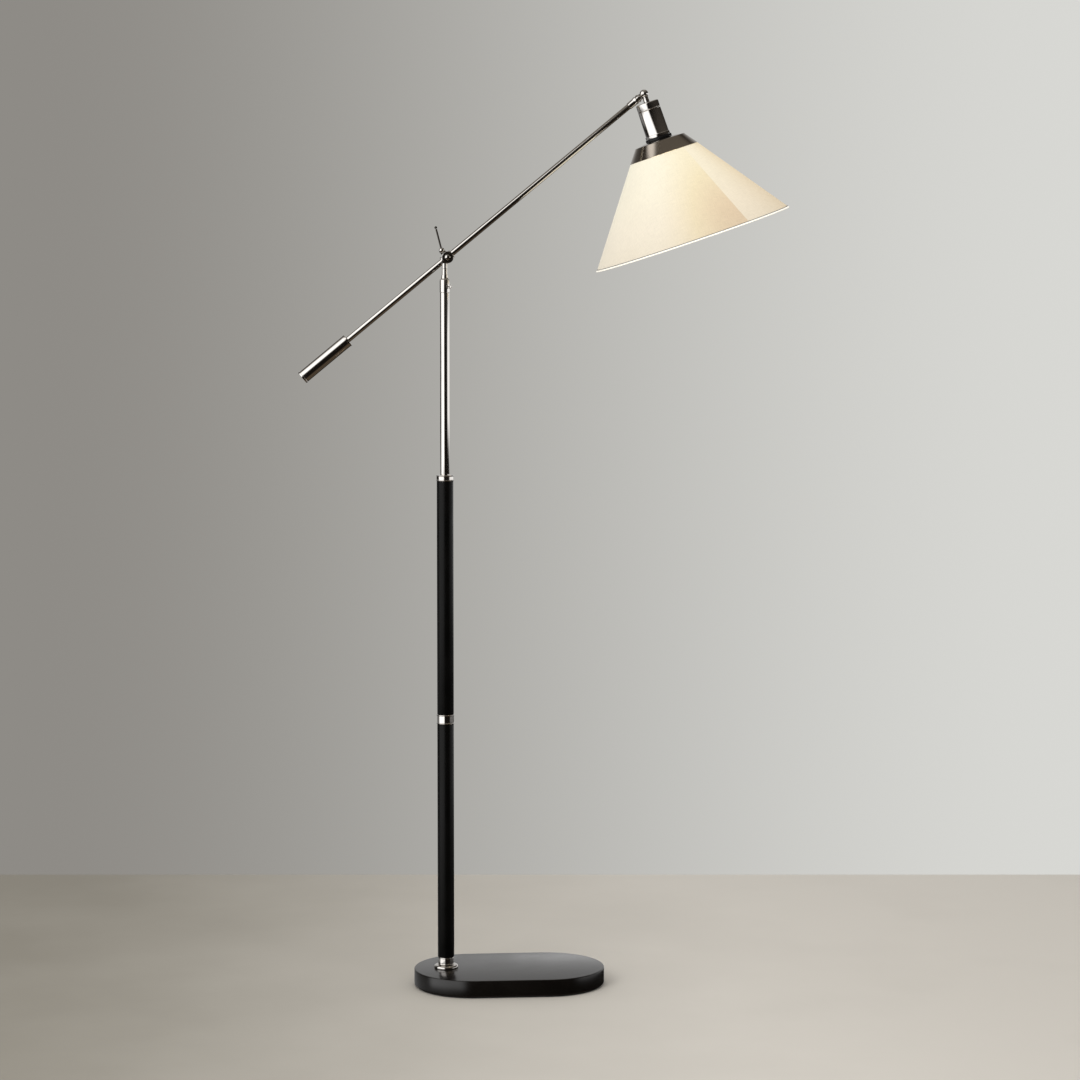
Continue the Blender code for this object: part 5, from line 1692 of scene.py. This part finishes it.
@dataclass
class Shade:
    """The spun cap, the wire spider, the cloth cone with its seam, the rim tape and the rim wire."""

    cloth_wall: float = 0.45 * MM
    cap_wall: float = 1 * MM
    top_wire: float = 1.3 * MM
    spider_arms: int = 3
    spider_turn: float = math.radians(17)
    seam_turn: float = math.radians(-62.9)
    lap: float = math.radians(4.0)
    lap_rise: float = math.radians(12)
    lap_gap: float = 0.2
    flat: tuple[float, float] = (0.582, 0.374)
    flat_area: float = 0.138

    def build(self) -> None:
        """Model the shade from its cap to its rim."""
        cap, tape = HEAD.span("shade_cap"), HEAD.span("rim_tape")
        self.hem_radius, self.hem_low = cap.radius, cap.low
        self.flare = (tape.radius - cap.radius) / (cap.low - tape.low)
        self.cap()
        self.spider()
        self.cloth()
        self.tape()
        self.rim_wire()

    def cap(self) -> None:
        """Model the cap: a flat crown, a soft shoulder and a cone that carries on the cloth's slope."""
        span = HEAD.span("shade_cap")
        crown = span.high - 2.7 * MM
        shoulder = 44 * MM
        flat = HEAD.span("spacer_ring").radius + 1.3 * MM
        hem = span.radius
        wall = self.cap_wall
        outline = [(span.bore, span.high), (flat, span.high), (flat + 1.2 * MM, span.high - 0.2 * MM),
                   (shoulder - 2.2 * MM, crown + 0.15 * MM),
                   *oval(1.6 * MM, 1.5 * MM, range(10, 60, 12), (shoulder - 1.6 * MM, crown - 1.5 * MM)),
                   (shoulder + FINE, crown - 1.6 * MM), (hem - 0.1 * MM, span.low + 0.25 * MM),
                   (hem - FINE, span.low),
                   (hem - wall * 1.24, span.low), (shoulder - wall, crown - wall - 1.2 * MM),
                   (flat, span.high - wall), (span.bore, span.high - wall)]
        deliver(turn_piece("shade_cap_spun", outline, 160), HEAD, NICKEL_SATIN, "head", "shade_cap")

    def cone(self, height: float, inset: float = 0.0) -> float:
        """Radius of the cloth's outer face at a height, less an inset square to it."""
        return self.hem_radius + (self.hem_low - height) * self.flare - inset * math.hypot(1, self.flare)

    def spider(self) -> None:
        """Model the wire spider: a stamped hub, three cranked arms and the top ring."""
        span = HEAD.span("shade_spider")
        hub = HEAD.span("ring_nut").radius + 1.5 * MM
        high = HEAD.span("shade_cap").high - self.cap_wall - FINE
        low = high - 2 * MM
        disc = [(span.bore, high), (hub, high), (hub, low), (span.bore, low)]
        item = turn_piece("shade_spider_hub", disc, 96, FINE)
        ring_at = span.low + self.top_wire
        ring_radius = span.radius - self.top_wire
        ring = turn_piece("ring", arc(self.top_wire, 0, -337.5, 15, (ring_radius, ring_at)), 160)
        bars = []
        for number in range(self.spider_arms):
            turn = Matrix.Rotation(math.tau * number / self.spider_arms + self.spider_turn, 4, "Z")
            knee = (39.5 * MM, 0, high + FINE - 2.7 * MM - 4.5 * MM + self.cap_wall)
            bars.append(wire_run("arm", [(hub - 2 * MM, 0, low + 1 * MM), knee, (ring_radius, 0, ring_at)],
                                 1.2 * MM, turn))
        shape_with(item, "UNION", *bars)
        pick(item)
        ring.select_set(True)
        bpy.ops.object.join()
        deliver(item, HEAD, WHITE_EPOXY, "head", "shade_spider")
        self.spider_piece = item

    def cloth(self) -> None:
        """Model the cloth as one sheet wrapped round the cone, its ends lapped at a seam."""
        span = HEAD.span("shade_fabric")
        columns, rows = 240, 30
        alone()
        bpy.ops.mesh.primitive_grid_add(x_subdivisions=columns, y_subdivisions=rows, size=1)
        item = bpy.context.object
        item.name = "shade_linen"
        item.data.name = "shade_linen"
        turn = math.tau + self.lap
        slope = math.sin(math.atan(self.flare))
        flat = item.data.uv_layers.new(name="Flat")
        around = item.data.uv_layers.new(name="Around")
        for loop in item.data.loops:
            co = item.data.vertices[loop.vertex_index].co
            share, down = co.x + 0.5, 0.5 - co.y
            height = span.high + (span.low - span.high) * down
            slant = self.cone(height) / slope
            angle = (share - 0.5) * turn * slope
            flat.data[loop.index].uv = (slant * math.sin(angle), slant * math.cos(angle))
            around.data[loop.index].uv = (share, down)
        for vertex in item.data.vertices:
            share, down = vertex.co.x + 0.5, 0.5 - vertex.co.y
            height = span.high + (span.low - span.high) * down
            past = max(0.0, 1 - (1 - share) * turn / self.lap_rise)
            lift = past * past * (3 - 2 * past)
            inset = self.cloth_wall * (1.5 + self.lap_gap) - lift * self.cloth_wall * (1 + self.lap_gap)
            radius = self.cone(height, inset)
            angle = self.seam_turn - self.lap + share * turn
            vertex.co = (radius * math.cos(angle), radius * math.sin(angle), height)
        pick(item)
        item.data.update()
        wall = item.modifiers.new("wall", "SOLIDIFY")
        wall.thickness = self.cloth_wall
        wall.offset = 0
        bpy.ops.object.modifier_apply(modifier=wall.name)
        settle(item, HEAD, 50)
        glow = self.filament()
        near = (HEAD.point(self.cone(span.high), 0, span.high) - glow).length
        far = (HEAD.point(self.cone(span.low), 0, span.low) - glow).length
        hand_over(item, LINEN.dress(HEAD.matrix, glow, near, far), "fabric", "head", "shade_fabric")
        self.cloth_piece = item

    def filament(self) -> Vector:
        """Where the bulb's light comes from."""
        bulb = HEAD.span("bulb_glass")
        return HEAD.point(0, 0, bulb.low + bulb.radius)

    def tape(self) -> None:
        """Model the tape rolled over the rim, with soft corners."""
        span = HEAD.span("rim_tape")
        top = span.high
        outer, inner = -0.4 * MM, 1.4 * MM
        outline = [(self.cone(top, outer + FINE), top), (self.cone(top - 0.4 * MM, outer), top - 0.4 * MM),
                   (self.cone(span.low + 1.2 * MM, outer), span.low + 1.2 * MM),
                   (self.cone(span.low + 0.5 * MM, outer + 0.15 * MM), span.low + 0.4 * MM),
                   (self.cone(span.low, 0.5 * MM), span.low),
                   (self.cone(span.low, 0.9 * MM), span.low + 0.1 * MM),
                   (self.cone(span.low + 0.6 * MM, inner - 0.1 * MM), span.low + 0.6 * MM),
                   (self.cone(top - FINE, inner), top - FINE), (self.cone(top, inner - FINE), top)]
        item = turn_piece("rim_tape_rolled", outline, 240)
        settle(item, HEAD, 50)
        hand_over(item, TrimTape().dress(HEAD.matrix, top), "rim_tape", "head", "rim_tape")
        self.tape_piece = item

    def rim_wire(self) -> None:
        """Model the wire inside the hem."""
        span = HEAD.span("rim_wire")
        wire = (span.high - span.low) / 2
        outline = arc(wire, 0, -337.5, 15, (span.radius - wire, span.low + wire))
        item = deliver(turn_piece("rim_wire_ring", outline, 200), HEAD, WHITE_EPOXY, "head", "rim_wire")


def wire_run(name: str, points: Sequence[Sequence[float]], radius: float, turn: Matrix) -> bpy.types.Object:
    """Model a round wire with a soft bend at its middle point.

    Args:
        name: The wire's name.
        points: Its start, its bend and its end.
        radius: The wire's radius.
        turn: How it is turned about the z axis.

    Returns:
        The wire as a mesh.
    """
    alone()
    bpy.ops.curve.primitive_nurbs_path_add()
    item = bpy.context.object
    item.name = name
    path = item.data.splines[0]
    start, bend, end = (Vector(point) for point in points)
    route = [start, start.lerp(bend, 0.7), bend, bend.lerp(end, 0.3), end]
    for control, place in zip(path.points, route):
        control.co = (*place, 1)
    path.use_endpoint_u = True
    path.order_u = 3
    item.data.bevel_depth = radius
    item.data.bevel_resolution = 4
    item.data.use_fill_caps = True
    item.data.resolution_u = 6
    bpy.ops.object.convert(target="MESH")
    tidy_normals(item)
    return spin_place(item, turn)


# ---------------------------------------------------------------- hidden parts


@dataclass
class HiddenParts:
    """Pieces out of sight that keep the frame's own shape and take a real finish."""

    def dress(self) -> None:
        """Give each hidden piece its finish."""
        stem, head = STEM.matrix, HEAD.matrix
        self.refinish(ZINC_STEEL.dress(stem), "stem_washer", "stem_nut", "stem_nipple")
        self.refinish(ZINC_STEEL.dress(head), "cup_nut")
        self.refinish(BRASS.dress(stem), "post_bush")
        self.refinish(BRASS.dress(head), "centre_contact", "bulb_cap")
        self.refinish(PHENOLIC.dress(stem), "mast_bush")
        self.refinish(STEATITE.dress(head), "contact_block")
        self.refinish(INSULATION.dress(stem), "stem_lead", "post_lead")
        self.refinish(INSULATION.dress(ARM.matrix), "arm_lead")
        self.refinish(INSULATION.dress(head), "head_lead")

    def refinish(self, material: bpy.types.Material, *names: str) -> None:
        """Put a finish on the frame's own pieces.

        Args:
            material: The finish.
            names: The nodes.
        """
        for name in names:
            for place in frame["nodes"][name].material_slots:
                place.material = material
            log.info("%s: refinished", name)


# ---------------------------------------------------------------- studio


# What the surroundings send to everything that does not mirror them
PLAIN_LIGHT = (0.62, 0.61, 0.60, 1)


@dataclass
class Studio:
    """Floor, backdrop tone, soft lights and the camera."""

    distance: float = 4.80
    height: float = 1.194
    bearing: float = 4.59
    tilt: float = 3.85
    aside: float = 0.160
    lens: float = 95.2
    shift: float = -0.06
    wall: float = 0.91
    # The backdrop's tones: painted shade on its left and lit grey on its right
    wall_shaded: str = "#8E8B86"
    wall_lit: str = "#D8D8D4"

    def build(self) -> None:
        """Set up the studio."""
        scene = bpy.context.scene
        scene.view_settings.view_transform = "Standard"
        scene.view_settings.look = "None"
        self.floor()
        self.sky()
        self.lamps()
        self.camera()

    def ahead(self) -> Vector:
        """The level direction in which the camera looks."""
        turn = math.radians(self.bearing)
        return Vector((math.sin(turn), math.cos(turn), 0))

    def aside_way(self) -> Vector:
        """The level direction to the camera's right."""
        way = self.ahead()
        return Vector((way.y, -way.x, 0))

    def floor(self) -> None:
        """Lay the floor, ending in a straight edge behind the lamp."""
        alone()
        bpy.ops.mesh.primitive_grid_add(x_subdivisions=8, y_subdivisions=8, size=1)
        item = bpy.context.object
        item.name = "studio_floor"
        item.scale = (12, 9, 1)
        bpy.ops.object.transform_apply(scale=True)
        item.rotation_euler = (0, 0, -math.radians(self.bearing))
        item.location = self.ahead() * (self.wall - 4.5)
        bpy.ops.object.transform_apply(location=True, rotation=True)
        # The floor's tones run from painted shade on the camera's left to lit paper on its right
        paper = StudioPaper("floor, pale matt", "#8B867B", "#D2CDC4")
        item.data.materials.append(paper.dress(self.bearing))
        item.visible_glossy = False

    def sky(self) -> None:
        """Surround the set with a plain tone, and with light and dark panels that only metal picks up."""
        world = bpy.data.worlds.new("studio")
        world.use_nodes = True
        bpy.context.scene.world = world
        nodes = Nodes(world.node_tree)
        shade = world.node_tree.nodes["Background"]
        way = nodes.add("TexCoord").outputs["Generated"]
        turn = -math.radians(self.bearing)
        level = nodes.add("SeparateXYZ", Vector=nodes.add(
            "Mapping", Vector=way, Rotation=(0, 0, -turn)).outputs[0]).outputs
        # Angle round from the camera's side, as a share: 0.5 faces the camera, less is to its left
        angle = nodes.maths("ARCTAN2", level["X"], nodes.maths("MULTIPLY", level["Y"], -1.0))
        share = nodes.maths("MULTIPLY_ADD", angle, 1 / math.tau, 0.5)
        left = nodes.ramp(share, (0.235, 0.0), (0.265, 1.0), (0.445, 1.0), (0.475, 0.0))
        low_left = nodes.ramp(share, (0.10, 1.0), (0.34, 1.0), (0.40, 0.0), (0.94, 0.0), (1.0, 1.0))
        right = nodes.ramp(share, (0.66, 0.0), (0.71, 1.0), (0.90, 1.0), (0.95, 0.3), (1.0, 0.3))
        behind = nodes.ramp(share, (0.05, 1.0), (0.12, 0.25), (0.20, 0.0), (0.90, 0.0), (0.96, 1.0))
        rise = nodes.maths("MULTIPLY_ADD", level["Z"], 0.5, 0.5)
        high_left = nodes.ramp(rise, (0.345, 0.0), (0.395, 1.0), (0.865, 1.0), (0.90, 0.0))
        high_right = nodes.ramp(rise, (0.42, 0.0), (0.46, 1.0), (0.55, 1.0), (0.61, 0.0))
        down_left = nodes.ramp(rise, (0.27, 0.0), (0.33, 1.0), (0.42, 1.0), (0.46, 0.0))
        high_back = nodes.ramp(rise, (0.46, 0.0), (0.50, 1.0), (0.75, 1.0), (0.9, 0.4))
        ground = nodes.ramp(rise, (0.0, "#4A4137"), (0.12, "#5A4E40"), (0.22, "#171310"), (0.55, "#191613"),
                            (0.86, "#4A453F"), (0.93, "#7A756D"), (1.0, "#7F7A72"))
        total = ground
        for across, up, power in ((left, high_left, 1.5), (right, high_right, 1.15),
                                  (behind, high_back, 0.50), (low_left, down_left, 0.22)):
            panel = nodes.maths("MULTIPLY", nodes.maths("MULTIPLY", across, up), power)
            total = nodes.add("VectorMath", {"operation": "ADD"}, i0=total, i1=panel).outputs[0]
        path = nodes.add("LightPath").outputs
        glossy = nodes.add("Mix", {"data_type": "RGBA"}, i0=path["Is Glossy Ray"], i6=PLAIN_LIGHT,
                           i7=total).outputs[2]
        # The backdrop that the camera sees, with painted shade that darkens it towards the left
        side = nodes.fade(level["X"], -0.18, 0.20)
        wall = nodes.ramp(side, (0.0, self.wall_shaded), (1.0, self.wall_lit))
        seen = nodes.add("Mix", {"data_type": "RGBA"}, i0=path["Is Camera Ray"], i6=glossy,
                         i7=wall).outputs[2]
        nodes.tree.links.new(seen, shade.inputs["Color"])

    def lamps(self) -> None:
        """Hang the softboxes."""
        right, ahead = self.aside_way(), self.ahead()
        middle = Vector((0.1, 0, 0.8))
        self.softbox("key", middle - ahead * 2.6 - right * 1.9 + Vector((0, 0, 1.6)), middle, 1.8, 50)
        self.softbox("top", middle + Vector((0, 0, 2.6)) - ahead * 0.4, middle, 2.2, 30)

    def softbox(self, name: str, at: Vector, target: Vector, size: float, power: float) -> None:
        """Hang one soft light.

        Args:
            name: The light's name.
            at: Its place.
            target: Where it points.
            size: Length of its square side.
            power: Its power in watts.
        """
        alone()
        bpy.ops.object.light_add(type="AREA", location=at)
        lamp = bpy.context.object
        lamp.name = name
        lamp.data.size = size
        lamp.data.energy = power
        lamp.visible_glossy = False
        lamp.rotation_euler = (target - at).to_track_quat("-Z", "Y").to_euler()

    def camera(self) -> None:
        """Stand the camera."""
        alone()
        bpy.ops.object.camera_add()
        view = bpy.context.object
        ahead, right = self.ahead(), self.aside_way()
        view.location = right * self.aside - ahead * self.distance + Vector((0, 0, self.height))
        drop = math.radians(self.tilt)
        look = ahead * math.cos(drop) - Vector((0, 0, math.sin(drop)))
        view.rotation_euler = look.to_track_quat("-Z", "Y").to_euler()
        view.data.lens = self.lens
        view.data.sensor_width = 36.0
        view.data.shift_y = self.shift
        bpy.context.scene.camera = view


def main() -> None:
    """Build the lamp's looks in order, then the studio."""
    logging.basicConfig(level=logging.INFO, format="%(message)s")
    for part in (Base(), Pole(), SwingJoint(), Arm(), Knuckle(), Head(), Shade()):
        log.info("building %s", type(part).__name__)
        part.build()
    HiddenParts().dress()
    Studio().build()


if __name__ == "__main__":
    main()
